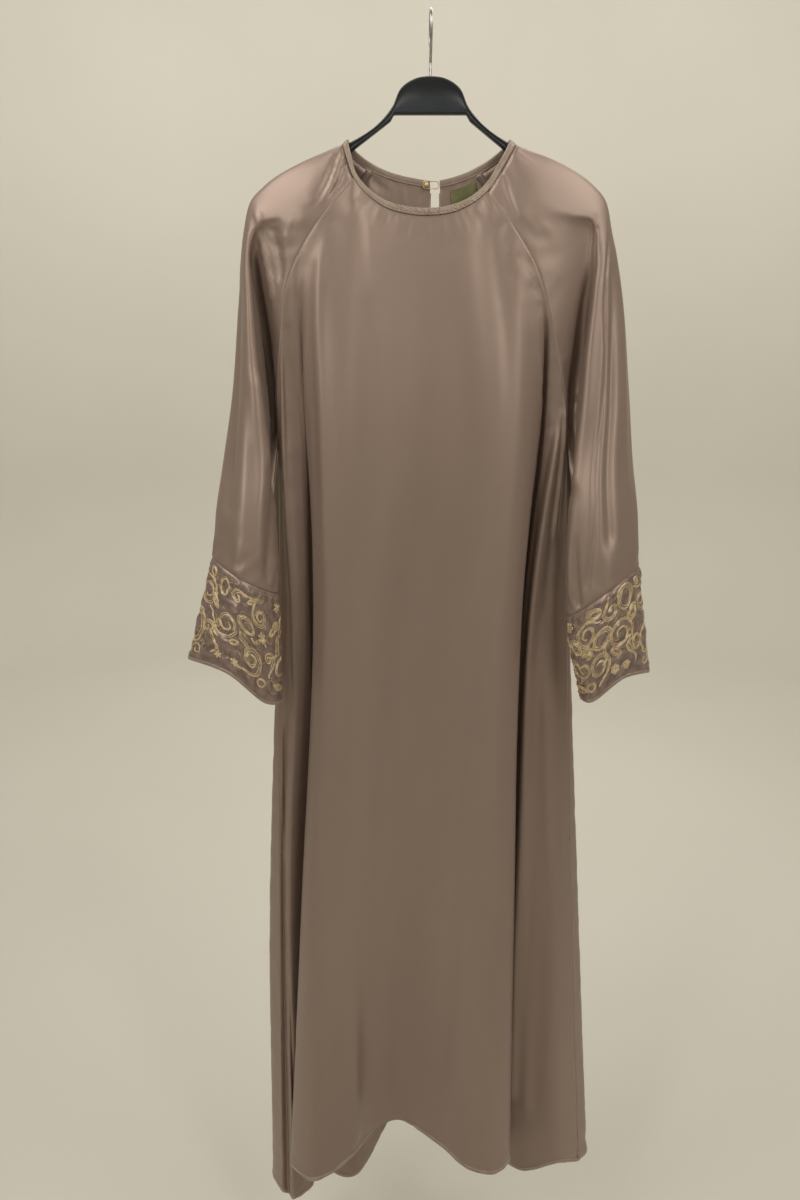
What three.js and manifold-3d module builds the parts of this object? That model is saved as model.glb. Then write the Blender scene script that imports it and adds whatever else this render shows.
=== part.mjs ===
// A full-length pullover robe with raglan sleeves, hung flat-shouldered on a moulded hanger.
// Millimetres, +Z up, the front faces -Y and +X is on the viewer's right.
// The origin is the inside of the hook's bend, where the hanger rests on what carries it.
import * as THREE from "three";
import Module from "manifold-3d";
import { mergeVertices } from "three/addons/utils/BufferGeometryUtils.js";

const wasm = await Module();
wasm.setup();

// Driving sizes
const WALL = 1.6;
const SEAM_GAP = 0.3;
const BINDING = { height: 8.5, thickness: 2.4, lift: 0.2 };
const LABEL = { thickness: 0.8, first: 26.6, last: 31.4, top: 0.004, bottom: 0.021, columns: 4, rows: 2 };
const SLIT = { x: 7.5, halfWidth: 5.2, roundRadius: 8, topZ: -150, roundZ: -258, frontY: 8, backY: 60 };
const BUTTON = { radius: 3.2, flatness: 0.7, x: -3.6, y: 23.2, z: -181 };
const LOOP = { thread: 0.6, bend: 4.25, stretch: 5.8, turn: 0.17 };
const HANGER = { thickness: 10.4, bevel: 2.8, restGap: 1.2, armHeight: 11, tipHeight: 7.5, shortOfTip: 0.5,
  lean: 3, bore: 2.1, boreDepth: 18 };
const HOOK = { wire: 1.7, bendRadius: 20.7, stem: [-84, -76, -68, -60, -52], swan: [[-6, -45], [-14, -37]],
  firstTurn: -0.35, lastTurn: 3.84, turns: 8 };

// How the cloth is divided into faces
const RAGLAN_STEPS = 12;
const NECK_STEPS = 20;
const PANEL_STEPS = 2 * RAGLAN_STEPS + NECK_STEPS;
const PANEL_ROWS = 18;
const SLEEVE_STEPS = 20;
const SLEEVE_ROWS = 18;
const CUFF_ROWS = 3;
const CUFF_END = 22;

// How soon the folds let go of the shape of the top edge
const NECK_FADE = { sleeveRows: 4, panelPower: 5 };

// Heights of the body's named sections
const CHEST_Z = -420;
const HIP_Z = -690;
const KNEE_Z = -1110;

// The neck edge as a closed ring of sections: x, y, z
const NECK = [
  { name: "left_front_join", at: [-91, -16, -181] },
  { name: "front_left", at: [-74, -20.5, -201] },
  { name: "front_left_low", at: [-51, -24, -216.5] },
  { name: "front_centre_left", at: [-28, -26, -223] },
  { name: "front_centre", at: [-3, -26.5, -225] },
  { name: "front_centre_right", at: [24, -26, -222] },
  { name: "front_right_low", at: [47, -24, -213] },
  { name: "right_front_join", at: [68, -20, -197] },
  { name: "right_front_side", at: [88, -14, -167] },
  { name: "right_arm_front", at: [100.8, -7.5, -143.4] },
  { name: "right_neck_point", at: [101, 0, -141.5] },
  { name: "right_arm_back", at: [100.2, 7.5, -143.2] },
  { name: "right_back_side", at: [82, 17, -158] },
  { name: "right_back_join", at: [60, 22, -170] },
  { name: "back_right", at: [35, 26, -179] },
  { name: "back_slit", at: [8, 27.5, -184] },
  { name: "back_left", at: [-20, 27, -181] },
  { name: "back_left_side", at: [-46, 25.5, -175.5] },
  { name: "left_back_join", at: [-72, 21, -166] },
  { name: "left_back_side", at: [-91, 15.5, -154.5] },
  { name: "left_arm_back", at: [-103.6, 7.5, -143.2] },
  { name: "left_neck_point", at: [-104, 0, -141.5] },
  { name: "left_arm_front", at: [-103.8, -7.5, -143.4] },
  { name: "left_front_side", at: [-99, -12.5, -160] },
];
const JOIN = { leftFront: 0, rightFront: 7, rightPoint: 10, rightBack: 13, leftBack: 18, leftPoint: 21 };

// Raglan seams from the neck join down to the underarm: x, y, z
const RAGLAN = {
  leftFront: [[-91, -16, -181], [-121, -25, -216], [-147, -26, -250], [-170, -23, -292],
    [-183, -17, -365], [-190, -8, -440], [-192, 0, -500]],
  leftBack: [[-72, 21, -166], [-104, 29, -205], [-136, 34, -258], [-160, 36, -320],
    [-178, 30, -400], [-188, 16, -460], [-192, 0, -500]],
  rightFront: [[68, -20, -197], [100, -27, -238], [128, -27, -282], [147, -24, -338],
    [163, -16, -398], [175, -7, -452], [178, 0, -500]],
  rightBack: [[60, 22, -170], [96, 32, -210], [126, 36, -262], [150, 36, -325],
    [168, 30, -400], [176, 16, -460], [178, 0, -500]],
};

// Folds of the front, left to right. u counts the panel's columns; chest, hip and knee hold x, y
// at those heights, and hem holds x, y, z.
const FRONT_FOLDS = [
  { name: "side_seam_left", u: 0, hip: [-197, 4], knee: [-207, -8], hem: [-218, -12, -1640] },
  { name: "side_crease_left", u: 1.5, hip: [-187, -2], knee: [-202, -4], hem: [-209, -8, -1647] },
  { name: "strip_left", u: 3, hip: [-178, -12], knee: [-193, -22], hem: [-200, -26, -1638] },
  { name: "recess_left", u: 5.5, chest: [-166, -8], hip: [-150, 2], knee: [-160, 14], hem: [-172, 8, -1642] },
  { name: "fold_left_rim", u: 8, chest: [-151, -22], hip: [-147, -22], knee: [-172, -32], hem: [-200, -40, -1562] },
  { name: "fold_left", u: 10, chest: [-126, -36], hip: [-132, -38], knee: [-158, -56], hem: [-168, -72, -1557] },
  { name: "left_join", u: 12, chest: [-96, -39], hip: [-112, -42], knee: [-136, -57], hem: [-142, -64, -1556] },
  { name: "left_mid", u: 15, chest: [-60, -40], hip: [-80, -44], knee: [-102, -52], hem: [-112, -44, -1548] },
  { name: "centre_valley", u: 22, chest: [0, -38], hip: [-22, -38], knee: [-42, -32], hem: [-50, 14, -1527] },
  { name: "right_mid", u: 28, chest: [58, -40], hip: [44, -42], knee: [28, -42], hem: [24, -24, -1541] },
  { name: "right_join", u: 32, chest: [94, -39], hip: [80, -46], knee: [70, -52], hem: [72, -60, -1552] },
  { name: "fold_right", u: 34, chest: [114, -36], hip: [102, -44], knee: [96, -52], hem: [104, -64, -1553] },
  { name: "fold_right_rim", u: 36, chest: [137, -22], hip: [123, -30], knee: [124, -34], hem: [129, -42, -1550] },
  { name: "recess_right", u: 38.5, chest: [148, -10], hip: [126, 8], knee: [110, 18], hem: [114, 22, -1598] },
  { name: "inner_right", u: 41, hip: [146, -2], knee: [150, 0], hem: [162, 10, -1622] },
  { name: "strip_right", u: 42.5, hip: [168, -7], knee: [184, -18], hem: [206, -12, -1586] },
  { name: "side_seam_right", u: 44, hip: [188, 6], knee: [208, -4], hem: [242, 0, -1594] },
];

// Folds of the back, in the same columns
const BACK_FOLDS = [
  { name: "side_seam_left", u: 0, hip: [-197, 4], knee: [-207, -8], hem: [-218, -12, -1640] },
  { name: "side_ridge_left", u: 2, hip: [-198, 14], knee: [-224, 16], hem: [-237, 18, -1634] },
  { name: "side_valley_left", u: 5, hip: [-186, 32], knee: [-204, 48], hem: [-212, 62, -1640] },
  { name: "ridge_left", u: 9, chest: [-142, 40], hip: [-150, 56], knee: [-168, 80], hem: [-180, 94, -1640] },
  { name: "left_join", u: 12, chest: [-108, 38], hip: [-116, 50], knee: [-132, 60], hem: [-142, 52, -1668] },
  { name: "valley_left", u: 14, chest: [-82, 36], hip: [-92, 44], knee: [-104, 48], hem: [-114, 40, -1664] },
  { name: "ridge_centre", u: 20, chest: [-22, 38], hip: [-26, 58], knee: [-34, 84], hem: [-40, 106, -1597] },
  { name: "valley_right", u: 27, chest: [52, 37], hip: [48, 48], knee: [50, 62], hem: [54, 74, -1590] },
  { name: "right_join", u: 32, chest: [106, 38], hip: [108, 52], knee: [114, 76], hem: [118, 94, -1592] },
  { name: "ridge_right", u: 35, chest: [132, 38], hip: [140, 54], knee: [150, 82], hem: [158, 102, -1594] },
  { name: "side_valley_right", u: 39, hip: [172, 34], knee: [190, 50], hem: [206, 60, -1597] },
  { name: "side_ridge_right", u: 42, hip: [191, 18], knee: [221, 18], hem: [257, 18, -1589] },
  { name: "side_seam_right", u: 44, hip: [188, 6], knee: [208, -4], hem: [242, 0, -1594] },
];

// Sections down a sleeve and its cuff. row counts the sleeve's rows: 0 is the neck edge, 12 the
// underarm, 18 the cuff seam and 22 the cuff's hem. outer holds the top of the shoulder and then
// the sleeve's outer edge. under holds the underarm seam. The rest hold how far across they lie
// from the front or back seam to the outer edge, and their y. rise lifts them above that line.
const LEFT_SLEEVE = [
  { row: 0, outer: [-104, 0, -141.5],
    valley: [0.3, -14], ridge: [0.5, -11], front: [0.8, -6], back: [0.75, 9], rear: [0.35, 16] },
  { row: 2, outer: [-150, 0, -161],
    valley: [0.25, -26], ridge: [0.5, -23], front: [0.93, -9], back: [0.93, 9], rear: [0.35, 28] },
  { row: 4, outer: [-199, 0, -187.5],
    valley: [0.4, -24], ridge: [0.6, -22], front: [0.93, -9], back: [0.93, 9], rear: [0.35, 32] },
  { row: 5, outer: [-217, -1, -206],
    valley: [0.6, -15], ridge: [0.74, -19], front: [0.93, -9], back: [0.93, 9], rear: [0.4, 34] },
  { row: 6, outer: [-225, -2, -238],
    valley: [0.64, -8], ridge: [0.8, -20], front: [0.92, -16], back: [0.85, 16], rear: [0.4, 36] },
  { row: 8, outer: [-236, -5, -328],
    valley: [0.33, 12], ridge: [0.58, -27], front: [0.82, -26], back: [0.85, 18], rear: [0.4, 38] },
  { row: 10, outer: [-246, -9, -425],
    valley: [0.16, 12], ridge: [0.3, -32], front: [0.72, -34], back: [0.85, 18], rear: [0.45, 34] },
  { row: 12, outer: [-259, -14, -505],
    valley: [0.1, -12], ridge: [0.14, -36], front: [0.6, -46], back: [0.85, 12], rear: [0.4, 20] },
  { row: 15, outer: [-268.5, -32, -571], under: [-199, -22, -578],
    valley: [-0.07, -34], ridge: [0.04, -52], front: [0.5, -64], back: [0.8, -8], rear: [0.35, -2] },
  { row: 18, outer: [-274, -44, -634], under: [-197, -30, -676],
    valley: [-0.08, -46], ridge: [0.06, -62], front: [0.5, -76], back: [0.8, -24], rear: [0.35, -16] },
  { row: 22, outer: [-309, -50, -766], under: [-198, -30, -824], rise: { ridge: -2, front: 20, rear: -4 },
    valley: [-0.05, -48], ridge: [0.12, -68], front: [0.5, -84], back: [0.8, -26], rear: [0.35, -14] },
];
const RIGHT_SLEEVE = [
  { row: 0, outer: [101, 0, -141.5],
    valley: [0.3, -15], ridge: [0.5, -12], front: [0.8, -6], back: [0.75, 9], rear: [0.35, 16] },
  { row: 2, outer: [150, 0, -161],
    valley: [0.25, -27], ridge: [0.5, -24], front: [0.93, -9], back: [0.93, 9], rear: [0.35, 28] },
  { row: 4, outer: [197, 0, -187.5],
    valley: [0.5, -22], ridge: [0.66, -23], front: [0.95, -10], back: [0.93, 9], rear: [0.35, 32] },
  { row: 5, outer: [213, -1, -206],
    valley: [0.66, -15], ridge: [0.78, -20], front: [0.95, -10], back: [0.93, 9], rear: [0.4, 34] },
  { row: 6, outer: [221, -2, -238],
    valley: [0.58, -12], ridge: [0.72, -23], front: [0.88, -20], back: [0.85, 16], rear: [0.4, 36] },
  { row: 8, outer: [240, -5, -328],
    valley: [0.33, -4], ridge: [0.44, -28], front: [0.75, -30], back: [0.85, 18], rear: [0.4, 38] },
  { row: 10, outer: [251, -9, -425],
    valley: [0.13, 0], ridge: [0.22, -34], front: [0.65, -38], back: [0.85, 18], rear: [0.45, 34] },
  { row: 12, outer: [258, -14, -505],
    valley: [0.08, -12], ridge: [0.1, -40], front: [0.55, -50], back: [0.85, 12], rear: [0.4, 20] },
  { row: 15, outer: [264, -34, -575], under: [185, -24, -580],
    valley: [-0.1, -38], ridge: [-0.04, -56], front: [0.45, -66], back: [0.8, -8], rear: [0.35, -4] },
  { row: 18, outer: [267.5, -46, -645], under: [184, -32, -702], rise: { front: 4 },
    valley: [-0.08, -50], ridge: [0.02, -66], front: [0.5, -78], back: [0.8, -24], rear: [0.35, -16] },
  { row: 22, outer: [287, -52, -783], under: [206, -32, -818], rise: { ridge: -2, front: 19 },
    valley: [-0.06, -50], ridge: [0.08, -70], front: [0.5, -84], back: [0.8, -26], rear: [0.35, -14] },
];
const SLEEVE_LINES = { seam: 0, valley: 2.5, ridge: 5, front: 8, outer: 11, back: 14, rear: 17, seamBack: 20 };

// Outline of the hanger's head from the left arm to the right arm: x, z
const HEAD_TOP = [[-58, -116], [-45, -101], [-34, -80], [-18, -70.5], [0, -68], [18, -70.5], [34, -80],
  [45, -101], [58, -116]];
const HEAD_BOTTOM = { halfWidth: 43, z: -109, cornerOut: 4, cornerDown: 7 };

const vector = (p) => new THREE.Vector3(p[0], p[1], p[2]);

// Smooth value at t through rows of numbers with increasing knots
function spline(knots, values, t) {
  const last = knots.length - 1;
  let i = 0;
  while (i < last - 1 && t > knots[i + 1]) i += 1;
  const slope = (a, b, axis) => (values[b][axis] - values[a][axis]) / (knots[b] - knots[a]);
  const tangent = (k, axis) => {
    if (k === 0) return slope(0, 1, axis);
    if (k === last) return slope(last - 1, last, axis);
    const before = knots[k] - knots[k - 1];
    const after = knots[k + 1] - knots[k];
    return (slope(k - 1, k, axis) * after + slope(k, k + 1, axis) * before) / (before + after);
  };
  const span = knots[i + 1] - knots[i];
  const s = (t - knots[i]) / span;
  return values[i].map((start, axis) => {
    const end = values[i + 1][axis];
    return start * (1 + 2 * s) * (1 - s) ** 2 + end * s * s * (3 - 2 * s)
      + tangent(i, axis) * span * s * (1 - s) ** 2 - tangent(i + 1, axis) * span * s * s * (1 - s);
  });
}

// Distances along a row of points
function chordKnots(points) {
  const knots = [0];
  for (let i = 1; i < points.length; i += 1) {
    knots.push(knots[i - 1] + vector(points[i]).distanceTo(vector(points[i - 1])));
  }
  return knots;
}

// Point at a fraction of the way along a seam
function alongSeam(points, fraction) {
  const knots = chordKnots(points);
  return vector(spline(knots, points, fraction * knots[knots.length - 1]));
}

// Point of the neck ring, counted in its sections
function neckPoint(position) {
  const count = NECK.length;
  const first = Math.floor(position) - 1;
  const values = [];
  for (let i = first; i <= first + 3; i += 1) values.push(NECK[(i + count) % count].at);
  const knots = chordKnots(values);
  return vector(spline(knots, values, THREE.MathUtils.lerp(knots[1], knots[2], position - first - 1)));
}

// Top edge of a panel at column u: left raglan, neck, right raglan
function panelTop(u, left, right, neckFrom, neckTo) {
  if (u < RAGLAN_STEPS) return alongSeam(left, 1 - u / RAGLAN_STEPS);
  const fromNeck = u - RAGLAN_STEPS;
  if (fromNeck <= NECK_STEPS) return neckPoint(neckFrom + ((neckTo - neckFrom) * fromNeck) / NECK_STEPS);
  return alongSeam(right, (fromNeck - NECK_STEPS) / RAGLAN_STEPS);
}

// One fold of a panel at a fraction of the way down
function foldPoint(fold, top, down) {
  const z = THREE.MathUtils.lerp(top.z, fold.hem[2], down);
  const knots = [-top.z];
  const values = [[top.x, top.y]];
  const stations = [[CHEST_Z, fold.chest], [HIP_Z, fold.hip], [KNEE_Z, fold.knee], [fold.hem[2], fold.hem]];
  for (const [height, place] of stations) {
    if (place) {
      knots.push(-height);
      values.push([place[0], place[1]]);
    }
  }
  const [x, y] = spline(knots, values, -z);
  return [x, y, z];
}

// Points of a panel: one row for each step down, one column for each step across
function panelGrid(folds, topAt) {
  const tops = folds.map((fold) => topAt(fold.u));
  const knots = folds.map((fold) => fold.u);
  const at = (u, down) => vector(spline(knots, folds.map((fold, i) => foldPoint(fold, tops[i], down)), u));
  const point = (u, down) => {
    const shift = topAt(u).sub(at(u, 0)).multiplyScalar((1 - down) ** NECK_FADE.panelPower);
    return at(u, down).add(shift);
  };
  const grid = [];
  for (let row = 0; row <= PANEL_ROWS; row += 1) {
    const cells = [];
    for (let u = 0; u <= PANEL_STEPS; u += 1) cells.push(point(u, row / PANEL_ROWS));
    grid.push(cells);
  }
  return { grid, point };
}

// Points of a sleeve from its neck edge to the cuff's hem
function sleeveGrid(sections, frontSeam, backSeam, neckIndex, rows) {
  const rowKnots = sections.map((section) => section.row);
  const column = (name, row) => spline(rowKnots, sections.map((section) => section[name]), row);
  const lift = (name, row) => spline(rowKnots, sections.map((section) => [section.rise?.[name] ?? 0]), row)[0];
  const below = sections.filter((section) => section.under);
  const underKnots = [RAGLAN_STEPS, ...below.map((section) => section.row)];
  const underPoints = [frontSeam[frontSeam.length - 1], ...below.map((section) => section.under)];
  const seamPoint = (seam, row) => (row <= RAGLAN_STEPS
    ? alongSeam(seam, row / RAGLAN_STEPS)
    : vector(spline(underKnots, underPoints, row)));
  const lineKnots = Object.values(SLEEVE_LINES);
  const across = (row) => {
    const outer = vector(column("outer", row));
    const place = (name, seam) => {
      const [share, y] = column(name, row);
      const point = seam.clone().lerp(outer, share);
      return [point.x, y, point.z + lift(name, row)];
    };
    const front = seamPoint(frontSeam, row);
    const back = seamPoint(backSeam, row);
    return [front.toArray(), place("valley", front), place("ridge", front), place("front", front),
      outer.toArray(), place("back", back), place("rear", back), back.toArray()];
  };
  const neckAt = (u) => {
    const before = SLEEVE_LINES.outer;
    const { front: first, point: middle, back: last } = neckIndex;
    return u <= before
      ? neckPoint(first + ((middle - first) * u) / before)
      : neckPoint(middle + ((last - middle) * (u - before)) / (SLEEVE_STEPS - before));
  };
  return rows.map((row) => {
    const cells = [];
    for (let u = 0; u <= SLEEVE_STEPS; u += 1) {
      const shift = neckAt(u).sub(vector(spline(lineKnots, across(0), u)));
      const fade = Math.max(0, 1 - row / NECK_FADE.sleeveRows) ** 2;
      cells.push(vector(spline(lineKnots, across(row), u)).addScaledVector(shift, fade));
    }
    return cells;
  });
}

// Unit normals of a grid, facing out of the garment
function gridNormals(grid, facing, ring = false) {
  const lastRow = grid.length - 1;
  const lastColumn = grid[0].length - 1;
  return grid.map((cells, r) => cells.map((cell, c) => {
    const left = c > 0 ? c - 1 : ring ? lastColumn - 1 : 0;
    const right = c < lastColumn ? c + 1 : ring ? 1 : lastColumn;
    const across = cells[right].clone().sub(cells[left]);
    const down = grid[Math.min(r + 1, lastRow)][c].clone().sub(grid[Math.max(r - 1, 0)][c]);
    return across.cross(down).normalize().multiplyScalar(facing);
  }));
}

// Gives every place in the list the same normal
function share(places) {
  const sum = new THREE.Vector3();
  for (const [normals, r, c] of places) sum.add(normals[r][c]);
  sum.normalize();
  for (const [normals, r, c] of places) normals[r][c] = sum.clone();
}

// Moves the edges of a grid inwards by half the gap of a seam
function setBack(grid, ring = false) {
  const lastRow = grid.length - 1;
  const lastColumn = grid[0].length - 1;
  const step = (from, to) => to.clone().sub(from).normalize().multiplyScalar(SEAM_GAP / 2);
  return grid.map((cells, r) => cells.map((cell, c) => {
    const moved = cell.clone();
    if (r === 0) moved.add(step(cell, grid[1][c]));
    if (r === lastRow) moved.add(step(cell, grid[lastRow - 1][c]));
    if (!ring && c === 0) moved.add(step(cell, cells[1]));
    if (!ring && c === lastColumn) moved.add(step(cell, cells[lastColumn - 1]));
    return moved;
  }));
}

// A closed wall on both sides of a grid of points
function wall(grid, normals, thickness, facing, ring = false) {
  const rows = grid.length;
  const columns = ring ? grid[0].length - 1 : grid[0].length;
  const positions = [];
  for (const side of [0.5, -0.5]) {
    for (let r = 0; r < rows; r += 1) {
      for (let c = 0; c < columns; c += 1) {
        const point = grid[r][c].clone().addScaledVector(normals[r][c], side * thickness);
        positions.push(point.x, point.y, point.z);
      }
    }
  }
  const inner = rows * columns;
  const index = (r, c) => r * columns + (c % columns);
  const faces = [];
  const face = (a, b, c) => faces.push(...(facing > 0 ? [a, b, c] : [a, c, b]));
  const edge = (a, b) => {
    face(b, a, a + inner);
    face(b, a + inner, b + inner);
  };
  const spans = ring ? columns : columns - 1;
  for (let r = 0; r < rows - 1; r += 1) {
    for (let c = 0; c < spans; c += 1) {
      const [a, b, d, e] = [index(r, c), index(r, c + 1), index(r + 1, c + 1), index(r + 1, c)];
      face(a, b, d);
      face(a, d, e);
      face(a + inner, d + inner, b + inner);
      face(a + inner, e + inner, d + inner);
    }
    if (!ring) {
      edge(index(r, spans), index(r + 1, spans));
      edge(index(r + 1, 0), index(r, 0));
    }
  }
  for (let c = 0; c < spans; c += 1) {
    edge(index(0, c), index(0, c + 1));
    edge(index(rows - 1, c + 1), index(rows - 1, c));
  }
  const geometry = new THREE.BufferGeometry();
  geometry.setAttribute("position", new THREE.Float32BufferAttribute(positions, 3));
  geometry.setIndex(faces);
  return geometry;
}

function toSolid(geometry) {
  const plain = geometry.clone();
  plain.deleteAttribute("normal");
  plain.deleteAttribute("uv");
  const merged = mergeVertices(plain, 1e-4);
  return new wasm.Manifold(new wasm.Mesh({
    numProp: 3,
    vertProperties: new Float32Array(merged.attributes.position.array),
    triVerts: new Uint32Array(merged.index.array),
  }));
}

function toGeometry(solid) {
  const mesh = solid.getMesh();
  const geometry = new THREE.BufferGeometry();
  geometry.setAttribute("position", new THREE.BufferAttribute(new Float32Array(mesh.vertProperties), 3));
  geometry.setIndex(new THREE.BufferAttribute(new Uint32Array(mesh.triVerts), 1));
  return geometry;
}

// Cloth colours and finishes
const satin = new THREE.MeshStandardMaterial({ color: 0x9a8272, roughness: 0.45, metalness: 0 });
const cuffCloth = new THREE.MeshStandardMaterial({ color: 0x93776a, roughness: 0.7, metalness: 0 });
const bindingCloth = new THREE.MeshStandardMaterial({ color: 0xa08a74, roughness: 0.5, metalness: 0 });
const goldThread = new THREE.MeshStandardMaterial({ color: 0xb89b62, roughness: 0.45, metalness: 0.2 });
const labelCloth = new THREE.MeshStandardMaterial({ color: 0x6f6a3c, roughness: 0.8, metalness: 0 });
const plastic = new THREE.MeshStandardMaterial({ color: 0x23272d, roughness: 0.4, metalness: 0 });
const steel = new THREE.MeshStandardMaterial({ color: 0xb9bcc0, roughness: 0.3, metalness: 1 });

const garment = new THREE.Group();
function add(name, geometry, material) {
  const mesh = new THREE.Mesh(geometry, material);
  mesh.name = name;
  garment.add(mesh);
  return mesh;
}

// The body's two panels
const frontTop = (u) => panelTop(u, RAGLAN.leftFront, RAGLAN.rightFront, JOIN.leftFront, JOIN.rightFront);
const backTop = (u) => panelTop(u, RAGLAN.leftBack, RAGLAN.rightBack, JOIN.leftBack, JOIN.rightBack);
const front = panelGrid(FRONT_FOLDS, frontTop);
const back = panelGrid(BACK_FOLDS, backTop);
const frontNormals = gridNormals(front.grid, -1);
const backNormals = gridNormals(back.grid, 1);

// The sleeves and cuffs, one on each side
const countTo = (count) => Array.from({ length: count + 1 }, (_, i) => i);
const SIDES = [
  { side: "left", facing: 1, sections: LEFT_SLEEVE, frontSeam: RAGLAN.leftFront, backSeam: RAGLAN.leftBack,
    neck: { front: NECK.length, point: JOIN.leftPoint, back: JOIN.leftBack },
    panelColumn: (row) => RAGLAN_STEPS - row },
  { side: "right", facing: -1, sections: RIGHT_SLEEVE, frontSeam: RAGLAN.rightFront, backSeam: RAGLAN.rightBack,
    neck: { front: JOIN.rightFront, point: JOIN.rightPoint, back: JOIN.rightBack },
    panelColumn: (row) => RAGLAN_STEPS + NECK_STEPS + row },
];
const cuffRows = countTo(CUFF_ROWS).map((i) => SLEEVE_ROWS + ((CUFF_END - SLEEVE_ROWS) * i) / CUFF_ROWS);
for (const arm of SIDES) {
  const grid = (rows) => sleeveGrid(arm.sections, arm.frontSeam, arm.backSeam, arm.neck, rows);
  arm.sleeve = grid(countTo(SLEEVE_ROWS));
  arm.cuff = grid(cuffRows);
  arm.sleeveNormals = gridNormals(arm.sleeve, arm.facing);
  arm.cuffNormals = gridNormals(arm.cuff, arm.facing, true);
}

// Seams: pieces that meet have one normal along their edge
for (let row = 1; row <= PANEL_ROWS; row += 1) {
  for (const u of [0, PANEL_STEPS]) share([[frontNormals, row, u], [backNormals, row, u]]);
}
for (const arm of SIDES) {
  for (let row = 0; row < RAGLAN_STEPS; row += 1) {
    share([[frontNormals, 0, arm.panelColumn(row)], [arm.sleeveNormals, row, 0]]);
    share([[backNormals, 0, arm.panelColumn(row)], [arm.sleeveNormals, row, SLEEVE_STEPS]]);
  }
  const underarm = arm.panelColumn(RAGLAN_STEPS);
  share([[frontNormals, 0, underarm], [backNormals, 0, underarm],
    [arm.sleeveNormals, RAGLAN_STEPS, 0], [arm.sleeveNormals, RAGLAN_STEPS, SLEEVE_STEPS]]);
  for (let row = RAGLAN_STEPS + 1; row < SLEEVE_ROWS; row += 1) {
    share([[arm.sleeveNormals, row, 0], [arm.sleeveNormals, row, SLEEVE_STEPS]]);
  }
  for (let u = 0; u <= SLEEVE_STEPS; u += 1) {
    share([[arm.sleeveNormals, SLEEVE_ROWS, u], [arm.cuffNormals, 0, u]]);
  }
  share([[arm.sleeveNormals, SLEEVE_ROWS, 0], [arm.sleeveNormals, SLEEVE_ROWS, SLEEVE_STEPS],
    [arm.cuffNormals, 0, 0], [arm.cuffNormals, 0, SLEEVE_STEPS]]);
}

// The slit at the back of the neck, as a tool that cuts the back and the binding
function slitTool() {
  const outline = new THREE.Shape();
  outline.moveTo(SLIT.x - SLIT.halfWidth, SLIT.topZ);
  outline.lineTo(SLIT.x - SLIT.roundRadius, SLIT.roundZ);
  outline.absarc(SLIT.x, SLIT.roundZ, SLIT.roundRadius, Math.PI, 2 * Math.PI, false);
  outline.lineTo(SLIT.x + SLIT.halfWidth, SLIT.topZ);
  outline.closePath();
  const prism = new THREE.ExtrudeGeometry(outline,
    { depth: SLIT.backY - SLIT.frontY, bevelEnabled: false, curveSegments: 8 });
  prism.rotateX(Math.PI / 2);
  prism.translate(0, SLIT.backY, 0);
  return toSolid(prism);
}
const slit = slitTool();

add("front_panel", wall(setBack(front.grid), frontNormals, WALL, -1), satin);
const backWall = wall(setBack(back.grid), backNormals, WALL, 1);
add("back_panel", toGeometry(toSolid(backWall).subtract(slit)), satin);
for (const arm of SIDES) {
  add(`sleeve_${arm.side}`, wall(setBack(arm.sleeve), arm.sleeveNormals, WALL, arm.facing), satin);
  add(`cuff_${arm.side}`, wall(setBack(arm.cuff, true), arm.cuffNormals, WALL, arm.facing, true), cuffCloth);
}

// The binding stands on the neck edge of all four pieces and goes on in their direction
function neckEdge() {
  const places = [];
  const take = (grid, normals, columns) => {
    for (const c of columns) {
      const rise = grid[0][c].clone().sub(grid[1][c]).normalize();
      rise.z += BINDING.lift;
      places.push({ point: grid[0][c], normal: normals[0][c], rise });
    }
  };
  const [left, right] = SIDES;
  const neckColumns = countTo(NECK_STEPS - 1).map((i) => RAGLAN_STEPS + i);
  const sleeveColumns = countTo(SLEEVE_STEPS - 1);
  take(front.grid, frontNormals, neckColumns);
  take(right.sleeve, right.sleeveNormals, sleeveColumns);
  take(back.grid, backNormals, neckColumns.map((c) => c + 1).reverse());
  take(left.sleeve, left.sleeveNormals, sleeveColumns.map((c) => c + 1).reverse());
  return places;
}
function smoothRound(places, key, passes) {
  for (let pass = 0; pass < passes; pass += 1) {
    const before = places.map((place) => place[key]);
    const count = places.length;
    places.forEach((place, i) => {
      const sum = before[(i + count - 1) % count].clone().add(before[i]).add(before[(i + 1) % count]);
      place[key] = sum.normalize();
    });
  }
}
const edgePlaces = neckEdge();
smoothRound(edgePlaces, "rise", 3);
smoothRound(edgePlaces, "normal", 1);
const bindingGrid = [BINDING.height, SEAM_GAP / 2].map((height) => {
  const cells = edgePlaces.map((place) => place.point.clone().addScaledVector(place.rise, height));
  return [...cells, cells[0].clone()];
});
const edgeNormals = [...edgePlaces, edgePlaces[0]].map((place) => place.normal);
const bindingWall = wall(bindingGrid, [edgeNormals, edgeNormals], BINDING.thickness, -1, true);
add("neck_binding", toGeometry(toSolid(bindingWall).subtract(slit)), bindingCloth);

// Button and thread loop at the top of the slit
const button = add("keyhole_button", new THREE.SphereGeometry(BUTTON.radius, 12, 8), goldThread);
button.scale.y = BUTTON.flatness;
button.position.set(BUTTON.x, BUTTON.y, BUTTON.z);
function loopGeometry() {
  const loop = new THREE.TorusGeometry(LOOP.bend, LOOP.thread, 8, 24);
  const position = loop.attributes.position;
  for (let i = 0; i < position.count; i += 1) {
    const x = position.getX(i);
    position.setX(i, x + Math.sign(Math.round(x)) * LOOP.stretch);
  }
  loop.translate(LOOP.stretch, 0, 0);
  loop.rotateX(Math.PI / 2);
  return loop;
}
const loop = add("button_loop", loopGeometry(), goldThread);
loop.position.copy(button.position);
loop.rotation.z = LOOP.turn;

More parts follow.
